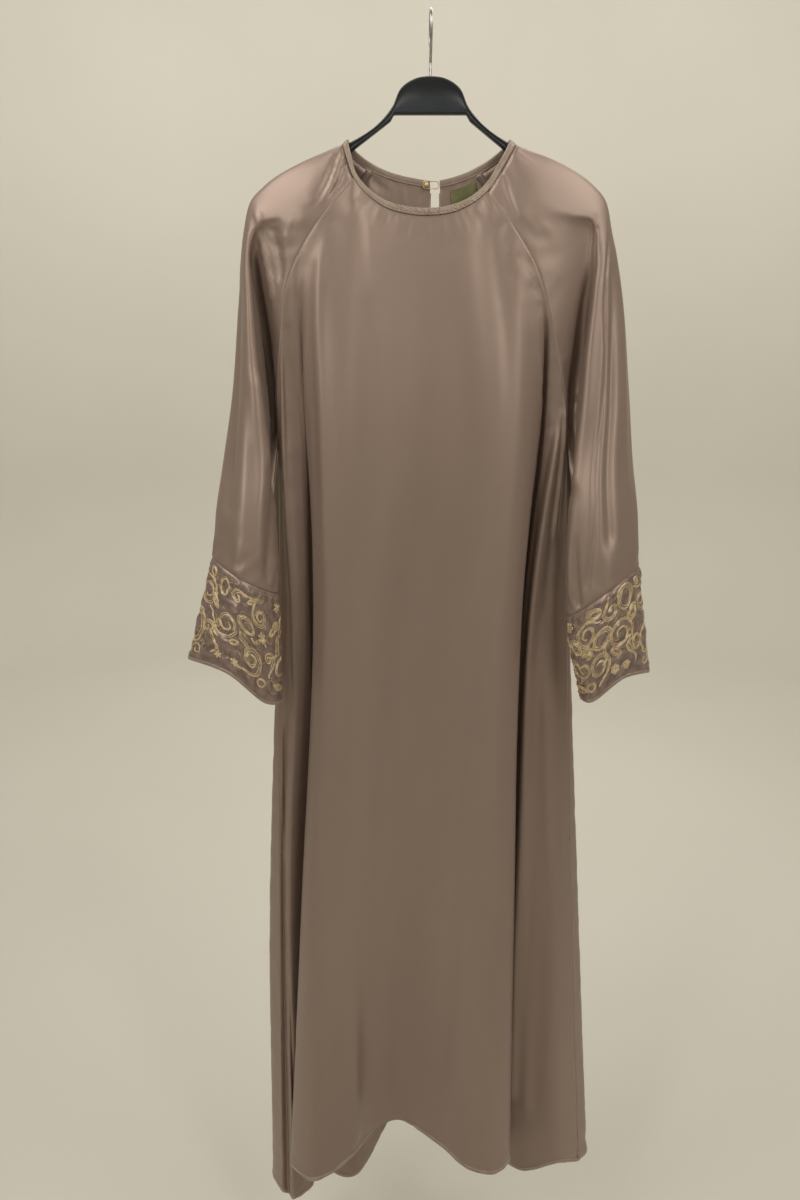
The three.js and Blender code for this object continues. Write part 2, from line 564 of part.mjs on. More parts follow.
// Bare label sewn inside the back, made from the panel's points, moved in
function labelGeometry() {
  const grid = countTo(LABEL.rows).map((row) => countTo(LABEL.columns).map((column) => back.point(
    THREE.MathUtils.lerp(LABEL.first, LABEL.last, column / LABEL.columns),
    THREE.MathUtils.lerp(LABEL.top, LABEL.bottom, row / LABEL.rows),
  )));
  const normals = gridNormals(grid, 1);
  const depth = (WALL + LABEL.thickness) / 2 + SEAM_GAP;
  const inwards = (cell, normal) => cell.clone().addScaledVector(normal, -depth);
  const moved = grid.map((cells, r) => cells.map((cell, c) => inwards(cell, normals[r][c])));
  return wall(moved, normals, LABEL.thickness, 1);
}
add("neck_label", labelGeometry(), labelCloth);

// The hanger: a head with two arms that run just under the shoulders
function hangerOutline() {
  const drop = WALL / 2 + HANGER.restGap;
  const shoulder = (sections) => {
    const knots = sections.map((section) => section.row);
    const line = countTo(5).map((row) => vector(spline(knots, sections.map((section) => section.outer), row)));
    line[5].lerp(line[4], HANGER.shortOfTip);
    return line.map((point) => point.toArray());
  };
  const left = shoulder(LEFT_SLEEVE).map(([x, , z]) => [x, z - drop]).reverse();
  const right = shoulder(RIGHT_SLEEVE).map(([x, , z]) => [x, z - drop]);
  const top = [...left, ...HEAD_TOP, ...right];
  const tip = (side) => [side[0], side[1] - HANGER.tipHeight];
  const lower = (points) => points.map(([x, z]) => [x - Math.sign(x) * HANGER.lean, z - HANGER.armHeight]);
  const { halfWidth, z: bottomZ, cornerOut, cornerDown } = HEAD_BOTTOM;
  const bottom = [...lower(right.slice(0, -1)).reverse(), [halfWidth + cornerOut, bottomZ - cornerDown],
    [halfWidth, bottomZ], [-halfWidth, bottomZ], [-halfWidth - cornerOut, bottomZ - cornerDown],
    ...lower(left.slice(1)).reverse()];
  return [...top, tip(right[right.length - 1]), ...bottom, tip(left[0])];
}
function hangerGeometry() {
  const outline = new THREE.Shape(hangerOutline().map(([x, z]) => new THREE.Vector2(x, z)));
  const body = new THREE.ExtrudeGeometry(outline, {
    depth: HANGER.thickness - 2 * HANGER.bevel,
    bevelThickness: HANGER.bevel,
    bevelSize: HANGER.bevel,
    bevelOffset: -HANGER.bevel,
    bevelSegments: 2,
  });
  body.rotateX(Math.PI / 2);
  body.translate(0, HANGER.thickness / 2 - HANGER.bevel, 0);
  const bore = new THREE.CylinderGeometry(HANGER.bore, HANGER.bore, 2 * HANGER.boreDepth, 12);
  bore.rotateX(Math.PI / 2);
  bore.translate(0, 0, Math.max(...HEAD_TOP.map(([, z]) => z)));
  return toGeometry(toSolid(body).subtract(toSolid(bore)));
}
add("hanger_body", hangerGeometry(), plastic);

// The hook is turned across the hanger: up from the head, round to the front, over and down behind
function hookPath() {
  const centreZ = HOOK.wire - HOOK.bendRadius;
  const path = HOOK.stem.map((z) => new THREE.Vector3(0, 0, z));
  for (const [y, z] of HOOK.swan) path.push(new THREE.Vector3(0, y, z));
  for (let i = 0; i <= HOOK.turns; i += 1) {
    const turn = THREE.MathUtils.lerp(HOOK.firstTurn, HOOK.lastTurn, i / HOOK.turns);
    const [forward, rise] = [HOOK.bendRadius * Math.cos(turn), HOOK.bendRadius * Math.sin(turn)];
    path.push(new THREE.Vector3(0, -forward, centreZ + rise));
  }
  return new THREE.CatmullRomCurve3(path);
}
function hookGeometry() {
  const section = new THREE.Shape();
  section.absarc(0, 0, HOOK.wire, 0, 2 * Math.PI, false);
  return new THREE.ExtrudeGeometry(section,
    { steps: 34, curveSegments: 5, bevelEnabled: false, extrudePath: hookPath() });
}
add("hanger_hook", hookGeometry(), steel);

export default garment;
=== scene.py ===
# A full-length satin robe with raglan sleeves and embroidered cuffs, hung on a moulded hanger.
# Tables are in millimetres and meshes in metres, with +Z up, the front towards -Y and the origin
# inside the top of the hook's bend.
import math
import random

import bpy
import numpy as np
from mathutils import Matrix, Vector, kdtree, noise


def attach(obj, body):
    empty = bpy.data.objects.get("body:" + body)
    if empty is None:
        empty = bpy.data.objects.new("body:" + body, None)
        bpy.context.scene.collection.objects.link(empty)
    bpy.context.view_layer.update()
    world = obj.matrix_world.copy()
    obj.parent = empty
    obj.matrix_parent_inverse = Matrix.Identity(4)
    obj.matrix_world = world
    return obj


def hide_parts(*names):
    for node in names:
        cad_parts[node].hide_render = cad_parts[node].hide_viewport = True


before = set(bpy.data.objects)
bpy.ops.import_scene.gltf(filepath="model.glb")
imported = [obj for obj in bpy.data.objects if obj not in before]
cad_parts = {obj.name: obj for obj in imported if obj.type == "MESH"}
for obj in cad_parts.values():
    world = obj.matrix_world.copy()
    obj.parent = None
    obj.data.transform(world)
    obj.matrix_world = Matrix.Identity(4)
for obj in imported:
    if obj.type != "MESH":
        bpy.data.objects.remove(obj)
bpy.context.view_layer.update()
MM = 0.001

# Camera at the photograph's viewing angle
CAMERA = dict(at=(-0.0358, -1.175, -0.428), pitch=77.0, lens=27.15, sensor=36.0)


def add_camera():
    data = bpy.data.cameras.new("camera")
    data.lens = CAMERA["lens"]
    data.sensor_width = CAMERA["sensor"]
    camera = bpy.data.objects.new("camera", data)
    camera.location = CAMERA["at"]
    camera.rotation_euler = (math.radians(CAMERA["pitch"]), 0, 0)
    bpy.context.scene.collection.objects.link(camera)
    bpy.context.scene.camera = camera


add_camera()

# Driving sizes of the cloth. CLOTH is its thickness, NECK_FADE tells how far the neck's shape reaches
# into it, and the others count the sections of its form, or are heights on it
CLOTH = 0.9
RAGLAN_STEPS = 12
NECK_STEPS = 20
PANEL_STEPS = 2 * RAGLAN_STEPS + NECK_STEPS
PANEL_ROWS = 18
SLEEVE_STEPS = 20
SLEEVE_ROWS = 18
CUFF_END = 22
NECK_FADE = dict(sleeve_rows=4, panel_power=5, corner_width=2.4, corner_reach=0.035)
CHEST_Z = -420
HIP_Z = -690
KNEE_Z = -1110

# How finely the cloth is divided: steps along the raglan and the neck, and graded lengths. CROWDED
# draws the raglan's steps together towards the underarm
RAGLAN_FINE = 60
NECK_FINE = 76
CROWDED = 0.25
GRADES = dict(
    body=dict(length=1300, first=1.0, coarse=9.5, growth=1.16, both=True),
    round_arm=dict(length=300, first=1.2, coarse=3.2, growth=1.2, both=True),
    below_arm=dict(length=180, first=1.2, coarse=6.5, growth=1.2),
    cuff=dict(length=140, first=0.9, coarse=2.2, growth=1.15, both=True),
)
# Points along the seam lines that shape the cloth beside them
SEAM_POINTS = dict(raglan=500, underarm=500, cuff=500, neck=560, side=1100, hem=900)

# The neck edge as a closed ring of sections
NECK = [
    ("left_front_join", (-91, -16, -181)),
    ("front_left", (-74, -20.5, -201)),
    ("front_left_low", (-51, -24, -216.5)),
    ("front_centre_left", (-28, -26, -223)),
    ("front_centre", (-3, -26.5, -225)),
    ("front_centre_right", (24, -26, -222)),
    ("front_right_low", (47, -24, -213)),
    ("right_front_join", (68, -20, -197)),
    ("right_front_side", (88, -14, -167)),
    ("right_arm_front", (100.8, -7.5, -143.4)),
    ("right_neck_point", (101, 0, -141.5)),
    ("right_arm_back", (100.2, 7.5, -143.2)),
    ("right_back_side", (82, 17, -158)),
    ("right_back_join", (60, 22, -170)),
    ("back_right", (35, 26, -179)),
    ("back_slit", (8, 27.5, -184)),
    ("back_left", (-20, 27, -181)),
    ("back_left_side", (-46, 25.5, -175.5)),
    ("left_back_join", (-72, 21, -166)),
    ("left_back_side", (-91, 15.5, -154.5)),
    ("left_arm_back", (-103.6, 7.5, -143.2)),
    ("left_neck_point", (-104, 0, -141.5)),
    ("left_arm_front", (-103.8, -7.5, -143.4)),
    ("left_front_side", (-99, -12.5, -160)),
]
JOIN = dict(left_front=0, right_front=7, right_point=10, right_back=13, left_back=18, left_point=21)

# Raglan seams from the neck join down to the underarm
RAGLAN = dict(
    left_front=[(-91, -16, -181), (-121, -25, -216), (-147, -26, -250), (-170, -23, -292),
                (-183, -17, -365), (-190, -8, -440), (-192, 0, -500)],
    left_back=[(-72, 21, -166), (-104, 29, -205), (-136, 34, -258), (-160, 36, -320),
               (-178, 30, -400), (-188, 16, -460), (-192, 0, -500)],
    right_front=[(68, -20, -197), (100, -27, -238), (128, -27, -282), (147, -24, -338),
                 (163, -16, -398), (175, -7, -452), (178, 0, -500)],
    right_back=[(60, 22, -170), (96, 32, -210), (126, 36, -262), (150, 36, -325),
                (168, 30, -400), (176, 16, -460), (178, 0, -500)],
)


# One fold of a panel: u counts columns, chest, hip and knee hold x, y there, and hem holds x, y, z
def fold(name, u, hip, knee, hem, chest=None):
    return dict(name=name, u=u, chest=chest, hip=hip, knee=knee, hem=hem)


SIDE_SEAMS = dict(
    left=fold("side_seam_left", 0, (-197, 4), (-207, -8), (-218, -12, -1640)),
    right=fold("side_seam_right", 44, (188, 6), (208, -4), (242, 0, -1594)),
)
FRONT_FOLDS = [
    SIDE_SEAMS["left"],
    fold("side_crease_left", 1.5, (-187, -2), (-202, -4), (-209, -8, -1647)),
    fold("strip_left", 3, (-178, -12), (-193, -22), (-200, -26, -1638)),
    fold("recess_left", 5.5, (-150, 2), (-160, 14), (-172, 8, -1642), chest=(-166, -8)),
    fold("fold_left_rim", 8, (-147, -22), (-172, -32), (-200, -40, -1562), chest=(-151, -22)),
    fold("fold_left", 10, (-132, -38), (-158, -56), (-168, -72, -1557), chest=(-126, -36)),
    fold("left_join", 12, (-112, -42), (-136, -57), (-142, -64, -1556), chest=(-96, -39)),
    fold("left_mid", 15, (-80, -44), (-102, -52), (-112, -44, -1548), chest=(-60, -40)),
    fold("centre_valley", 22, (-22, -38), (-42, -32), (-50, 14, -1527), chest=(0, -38)),
    fold("right_mid", 28, (44, -42), (28, -42), (24, -24, -1541), chest=(58, -40)),
    fold("right_join", 32, (80, -46), (70, -52), (72, -60, -1552), chest=(94, -39)),
    fold("fold_right", 34, (102, -44), (96, -52), (104, -64, -1553), chest=(114, -36)),
    fold("fold_right_rim", 36, (123, -30), (124, -34), (129, -42, -1550), chest=(137, -22)),
    fold("recess_right", 38.5, (126, 8), (110, 18), (114, 22, -1598), chest=(148, -10)),
    fold("inner_right", 41, (146, -2), (150, 0), (162, 10, -1622)),
    fold("strip_right", 42.5, (168, -7), (184, -18), (206, -12, -1586)),
    SIDE_SEAMS["right"],
]
BACK_FOLDS = [
    SIDE_SEAMS["left"],
    fold("side_ridge_left", 2, (-198, 14), (-224, 16), (-237, 18, -1634)),
    fold("side_valley_left", 5, (-186, 32), (-204, 48), (-212, 62, -1640)),
    fold("ridge_left", 9, (-150, 56), (-168, 80), (-180, 94, -1640), chest=(-142, 40)),
    fold("left_join", 12, (-116, 50), (-132, 60), (-142, 52, -1668), chest=(-108, 38)),
    fold("valley_left", 14, (-92, 44), (-104, 48), (-114, 40, -1664), chest=(-82, 36)),
    fold("ridge_centre", 20, (-26, 58), (-34, 84), (-40, 106, -1597), chest=(-22, 38)),
    fold("valley_right", 27, (48, 48), (50, 62), (54, 74, -1590), chest=(52, 37)),
    fold("right_join", 32, (108, 52), (114, 76), (118, 94, -1592), chest=(106, 38)),
    fold("ridge_right", 35, (140, 54), (150, 82), (158, 102, -1594), chest=(132, 38)),
    fold("side_valley_right", 39, (172, 34), (190, 50), (206, 60, -1597)),
    fold("side_ridge_right", 42, (191, 18), (221, 18), (257, 18, -1589)),
    SIDE_SEAMS["right"],
]


# One section of a sleeve: outer is its outer edge, under its underarm seam, and the other lines
# hold how far across they lie from the seam to the outer edge, and their y
def section(row, outer, valley, ridge, front, back, rear, under=None, rise=()):
    return dict(row=row, outer=outer, under=under, rise=dict(rise), valley=valley, ridge=ridge,
                front=front, back=back, rear=rear)


LEFT_SLEEVE = [
    section(0, (-104, 0, -141.5), (0.3, -14), (0.5, -11), (0.8, -6), (0.75, 9), (0.35, 16)),
    section(2, (-150, 0, -161), (0.25, -26), (0.5, -23), (0.93, -9), (0.93, 9), (0.35, 28)),
    section(4, (-199, 0, -187.5), (0.4, -24), (0.6, -22), (0.93, -9), (0.93, 9), (0.35, 32)),
    section(5, (-217, -1, -206), (0.6, -15), (0.74, -19), (0.93, -9), (0.93, 9), (0.4, 34)),
    section(6, (-225, -2, -238), (0.64, -8), (0.8, -20), (0.92, -16), (0.85, 16), (0.4, 36)),
    section(8, (-236, -5, -328), (0.33, 12), (0.58, -27), (0.82, -26), (0.85, 18), (0.4, 38)),
    section(10, (-246, -9, -425), (0.16, 12), (0.3, -32), (0.72, -34), (0.85, 18), (0.45, 34)),
    section(12, (-259, -14, -505), (0.1, -12), (0.14, -36), (0.6, -46), (0.85, 12), (0.4, 20)),
    section(15, (-268.5, -32, -571), (-0.07, -34), (0.04, -52), (0.5, -64), (0.8, -8), (0.35, -2),
            under=(-199, -22, -578)),
    section(18, (-274, -44, -634), (-0.08, -46), (0.06, -62), (0.5, -76), (0.8, -24), (0.35, -16),
            under=(-197, -30, -676)),
    section(22, (-309, -50, -766), (-0.05, -48), (0.12, -68), (0.5, -84), (0.8, -26), (0.35, -14),
            under=(-198, -30, -824), rise=[("ridge", -2), ("front", 20), ("rear", -4)]),
]
RIGHT_SLEEVE = [
    section(0, (101, 0, -141.5), (0.3, -15), (0.5, -12), (0.8, -6), (0.75, 9), (0.35, 16)),
    section(2, (150, 0, -161), (0.25, -27), (0.5, -24), (0.93, -9), (0.93, 9), (0.35, 28)),
    section(4, (197, 0, -187.5), (0.5, -22), (0.66, -23), (0.95, -10), (0.93, 9), (0.35, 32)),
    section(5, (213, -1, -206), (0.66, -15), (0.78, -20), (0.95, -10), (0.93, 9), (0.4, 34)),
    section(6, (221, -2, -238), (0.58, -12), (0.72, -23), (0.88, -20), (0.85, 16), (0.4, 36)),
    section(8, (240, -5, -328), (0.33, -4), (0.44, -28), (0.75, -30), (0.85, 18), (0.4, 38)),
    section(10, (251, -9, -425), (0.13, 0), (0.22, -34), (0.65, -38), (0.85, 18), (0.45, 34)),
    section(12, (258, -14, -505), (0.08, -12), (0.1, -40), (0.55, -50), (0.85, 12), (0.4, 20)),
    section(15, (264, -34, -575), (-0.1, -38), (-0.04, -56), (0.45, -66), (0.8, -8), (0.35, -4),
            under=(185, -24, -580)),
    section(18, (267.5, -46, -645), (-0.08, -50), (0.02, -66), (0.5, -78), (0.8, -24), (0.35, -16),
            under=(184, -32, -702), rise=[("front", 4)]),
    section(22, (287, -52, -783), (-0.06, -50), (0.08, -70), (0.5, -84), (0.8, -26), (0.35, -14),
            under=(206, -32, -818), rise=[("ridge", -2), ("front", 19)]),
]
SLEEVE_LINES = dict(seam=0, valley=2.5, ridge=5, front=8, outer=11, back=14, rear=17, seam_back=20)


# Curves
def spline(knots, values, at):
    """Rows of numbers at the places in at, smooth through rows of values with rising knots."""
    knots = np.asarray(knots, float)
    values = np.asarray(values, float)
    at = np.asarray(at, float)
    steps = np.diff(knots)[:, None]
    slopes = np.diff(values, axis=0) / steps
    tangents = np.empty_like(values)
    tangents[0] = slopes[0]
    tangents[-1] = slopes[-1]
    before, after = steps[:-1], steps[1:]
    tangents[1:-1] = (slopes[:-1] * after + slopes[1:] * before) / (before + after)
    i = np.clip(np.searchsorted(knots, at) - 1, 0, len(knots) - 2)
    span = steps[i]
    s = (at - knots[i])[:, None] / span
    start, end = values[i], values[i + 1]
    return (start * (1 + 2 * s) * (1 - s) ** 2 + end * s * s * (3 - 2 * s)
            + tangents[i] * span * s * (1 - s) ** 2 - tangents[i + 1] * span * s * s * (1 - s))


def interp_rows(at, arc, values):
    """Rows of numbers at the places in at, straight between rows of values."""
    return np.stack([np.interp(at, arc, values[:, k]) for k in range(values.shape[1])], 1)


def chord_knots(points):
    """Distances along a line of points."""
    steps = np.linalg.norm(np.diff(np.asarray(points, float), axis=0), axis=1)
    return np.concatenate([[0], np.cumsum(steps)])


def along_seam(points, fractions):
    knots = chord_knots(points)
    return spline(knots, points, np.asarray(fractions, float) * knots[-1])


def neck_points(positions):
    """Points of the neck ring, counted in its sections."""
    found = []
    for position in positions:
        first = math.floor(position) - 1
        values = [NECK[i % len(NECK)][1] for i in range(first, first + 4)]
        knots = chord_knots(values)
        place = knots[1] + (knots[2] - knots[1]) * (position - first - 1)
        found.append(spline(knots, values, [place])[0])
    return np.array(found)


def unit(vectors):
    return vectors / np.maximum(np.linalg.norm(vectors, axis=-1, keepdims=True), 1e-9)


def smooth_step(x, low, high):
    t = np.clip((x - low) / (high - low), 0, 1)
    return t * t * (3 - 2 * t)


def graded(length, first, coarse, growth, both=False):
    """Shares of a length, close together at its start, and at its end too if both is set."""
    reach = length / 2 if both else length
    places, step = [0.0], first
    while places[-1] + step < reach:
        places.append(places[-1] + step)
        step = min(step * growth, coarse)
    shares = np.array(places + [reach]) / reach
    if both:
        shares = np.concatenate([shares / 2, 1 - shares[-2::-1] / 2])
    return shares


# Surfaces of the garment
def panel_top(columns, left, right, neck_from, neck_to):
    """Top edge of a panel: left raglan, neck, right raglan."""
    columns = np.asarray(columns, float)
    from_neck = columns - RAGLAN_STEPS
    points = np.empty((len(columns), 3))
    on_left = from_neck < 0
    on_right = from_neck > NECK_STEPS
    on_neck = ~on_left & ~on_right
    points[on_left] = along_seam(left, -from_neck[on_left] / RAGLAN_STEPS)
    points[on_right] = along_seam(right, (from_neck[on_right] - NECK_STEPS) / RAGLAN_STEPS)
    along = from_neck[on_neck] / NECK_STEPS
    points[on_neck] = neck_points(neck_from + (neck_to - neck_from) * along)
    return points


def fold_points(line, top, downs):
    """One fold of a panel at shares of the way down."""
    z = top[2] + (line["hem"][2] - top[2]) * downs
    knots, values = [-top[2]], [top[:2]]
    for height, name in ((CHEST_Z, "chest"), (HIP_Z, "hip"), (KNEE_Z, "knee"), (line["hem"][2], "hem")):
        if line[name] is not None:
            knots.append(-height)
            values.append(line[name][:2])
    return np.column_stack([spline(knots, values, -z), z])


def softened(columns, values, width):
    """Values along the columns, each averaged with its neighbours; the two ends stay as they are."""
    weights = np.exp(-((columns[:, None] - columns[None]) / width) ** 2) * np.gradient(columns)[None]
    even = weights @ values / weights.sum(axis=1, keepdims=True)
    inside = np.minimum(columns - columns[0], columns[-1] - columns)
    kept = smooth_step(inside, 0, 2 * width)[:, None]
    return values * (1 - kept) + even * kept


def panel_points(folds, top_at, columns, downs):
    """Points of a panel: one row for each step down, one column for each step across."""
    columns, downs = np.asarray(columns, float), np.asarray(downs, float)
    knots = [line["u"] for line in folds]
    tops = top_at(knots)
    lines = np.array([fold_points(line, top, downs) for line, top in zip(folds, tops)])
    grid = np.array([spline(knots, lines[:, row], columns) for row in range(len(downs))])
    shift = top_at(columns) - spline(knots, tops, columns)
    soft = softened(columns, shift, NECK_FADE["corner_width"])
    settled = smooth_step(downs, 0, NECK_FADE["corner_reach"])[:, None, None]
    fade = ((1 - downs) ** NECK_FADE["panel_power"])[:, None, None]
    return grid + (shift[None] * (1 - settled) + soft[None] * settled) * fade


def sleeve_points(arm, columns, rows):
    """Points of a sleeve and its cuff from the neck edge down."""
    sections = arm["sections"]
    row_knots = [s["row"] for s in sections]
    below = [s for s in sections if s["under"]]
    under_knots = [RAGLAN_STEPS] + [s["row"] for s in below]
    under_values = [arm["front_seam"][-1]] + [s["under"] for s in below]
    line_knots = list(SLEEVE_LINES.values())

    def seam_point(seam, row):
        if row <= RAGLAN_STEPS:
            return along_seam(seam, [row / RAGLAN_STEPS])[0]
        return spline(under_knots, under_values, [row])[0]

    def across(row):
        outer = spline(row_knots, [s["outer"] for s in sections], [row])[0]
        front, back = seam_point(arm["front_seam"], row), seam_point(arm["back_seam"], row)
        points = {"seam": front, "outer": outer, "seam_back": back}
        anchors = dict(valley=front, ridge=front, front=front, back=back, rear=back)
        for name, seam in anchors.items():
            share, y = spline(row_knots, [s[name] for s in sections], [row])[0]
            lift = spline(row_knots, [[s["rise"].get(name, 0)] for s in sections], [row])[0, 0]
            x, _, z = seam + (outer - seam) * share
            points[name] = (x, y, z + lift)
        return [points[name] for name in SLEEVE_LINES]

    first, middle, last = arm["neck"]
    before = SLEEVE_LINES["outer"]
    columns = np.asarray(columns, float)
    to_middle = first + (middle - first) * columns / before
    to_last = middle + (last - middle) * (columns - before) / (SLEEVE_STEPS - before)
    neck = neck_points(np.where(columns <= before, to_middle, to_last))
    shift = neck - spline(line_knots, across(0), columns)
    grid = []
    for row in rows:
        fade = max(0, 1 - row / NECK_FADE["sleeve_rows"]) ** 2
        grid.append(spline(line_knots, across(row), columns) + shift * fade)
    return np.array(grid)


def grid_normals(points, facing, ring=False):
    """Unit normals of a grid, facing out of the garment."""
    across = np.gradient(points, axis=1)
    down = np.gradient(points, axis=0)
    if ring:
        closing = (points[:, 1] - points[:, -2]) / 2
        across[:, 0] = closing
        across[:, -1] = closing
    return unit(np.cross(across, down)) * facing


def share(*places):
    """Gives the same normals to edges that meet: each place is an array of normals and an index."""
    mean = unit(sum(normals[index] for normals, index in places))
    for normals, index in places:
        normals[index] = mean


# Finer relief on the cloth: how creases end, the ripples beside seams, and how far creases keep clear
# of them
CREASE_END = dict(steepness=5, power=1.5)
RIPPLE = dict(across=22, fine_scale=2.3, fine_across=15, fine_share=0.4, rise=2.5)
CLEAR_OF_SEAM = 7
FAR = 1e3


def crease_shares(cloth, path, width, lean):
    """How much of a crease each point takes. path holds (v, u, strength), with v along the cloth:
    z on a panel, rows on a sleeve."""
    v_knots = [p[0] for p in path]
    v = cloth["v"]
    places = spline(v_knots, [p[1:] for p in path], np.clip(v, v_knots[0], v_knots[-1]).ravel())
    centre, strength = (places[:, k].reshape(v.shape) for k in (0, 1))
    offset = (cloth["u"][None, :] - centre) * cloth["column_mm"]
    slope = np.gradient(centre, axis=0) * cloth["column_mm"] / cloth["row_mm"]
    offset /= np.sqrt(1 + slope ** 2)
    reach = v_knots[-1] - v_knots[0]
    share_along = np.clip((v - v_knots[0]) / reach, 0, 1)
    ends = np.minimum(1, CREASE_END["steepness"] * np.sin(math.pi * share_along)) ** CREASE_END["power"]
    window = np.clip(strength, 0, None) * ends
    wide = width * (1 + lean * np.tanh(offset / width))
    return window * np.exp(-(offset / wide) ** 2)


def noise_field(places, scale, seed):
    """Smooth noise at rows of places, with a wavelength for each axis."""
    scaled = np.asarray(places, float) / np.asarray(scale, float)
    return np.array([noise.noise(Vector((p[0], p[1], p[2] + seed))) for p in scaled])


# Seam lines: how the cloth rolls down into them, and the puckers beside them
SEAMS = dict(
    raglan=dict(depth=0.45, width=1.2, pucker=0.55, wave=11.0, reach=12.0),
    side=dict(depth=0.9, width=1.8, pucker=0.5, wave=24.0, reach=14.0),
    underarm=dict(depth=0.9, width=1.6, pucker=0.4, wave=18.0, reach=12.0),
    neck=dict(depth=0.2, width=1.5, pucker=0.3, wave=5.0, reach=9.0),
    cuff=dict(depth=1.0, width=1.6, pucker=0.8, wave=9.0, reach=16.0),
    hem=dict(depth=0.0, width=1.0, pucker=0.7, wave=26.0, reach=18.0),
)


def seam_relief(points, line, kind, seed):
    """Height of the cloth by one seam line, and how far each point is from it."""
    sizes = SEAMS[kind]
    arc = chord_knots(line)
    tree = kdtree.KDTree(len(line))
    for i, p in enumerate(line):
        tree.insert(p, i)
    tree.balance()
    flat = points.reshape(-1, 3)
    distance = np.full(len(flat), FAR)
    heights = np.zeros(len(flat))
    reach = 3 * sizes["reach"]
    low, high = np.min(line, axis=0) - reach, np.max(line, axis=0) + reach
    for n in np.nonzero(np.all((flat > low) & (flat < high), axis=1))[0]:
        _, i, d = tree.find(flat[n])
        distance[n] = d
        if d < reach:
            across = d / sizes["reach"]
            along = arc[i] / sizes["wave"]
            ripple = noise.noise(Vector((along, d / RIPPLE["across"] + seed, seed)))
            fine = noise.noise(Vector((along * RIPPLE["fine_scale"], seed, d / RIPPLE["fine_across"])))
            ripple += RIPPLE["fine_share"] * fine
            rise = across * math.exp(1 - across) * min(1, d / RIPPLE["rise"])
            dip = sizes["depth"] * math.exp(-(d / sizes["width"]) ** 2)
            heights[n] = sizes["pucker"] * 2 * ripple * rise - dip
    return heights.reshape(points.shape[:2]), distance.reshape(points.shape[:2])


def relieve(cloth, seams, creases, drift):
    """Adds creases, slow undulation and seams to a cloth's points."""
    points, normals = cloth["points"], cloth["normals"]
    edge = np.full(points.shape[:2], FAR)
    beside = np.zeros(points.shape[:2])
    for i, (line, kind) in enumerate(seams):
        heights, distance = seam_relief(points, line, kind, 7.3 * i + cloth["seed"])
        beside += heights
        edge = np.minimum(edge, distance)
    free, aside = np.zeros(points.shape[:2]), np.zeros(points.shape[:2])
    for line in creases:
        shares = crease_shares(cloth, line["path"], line["width"], line["lean"])
        free += line["height"] * shares
        aside += line["over"] * shares
    flat = points.reshape(-1, 3)
    slow = noise_field(flat, drift["wave"], cloth["seed"]).reshape(edge.shape)
    fade, clear = smooth_step(edge, 0, drift["fade"]), smooth_step(edge, 0, CLEAR_OF_SEAM)
    height = beside + free * clear + drift["height"] * slow * fade
    along = unit(np.gradient(points, axis=1))
    cloth["points"] = points + normals * height[..., None] + along * (aside * clear)[..., None]
    return cloth


# Creases: width and height in millimetres, then v, u and strength along the path. over is how
# far the crease is pushed aside, towards higher u, and lean makes that side wider
def crease(width, height, *path, over=0, lean=0):
    return dict(width=width, height=height, path=sorted(path), over=over, lean=lean)


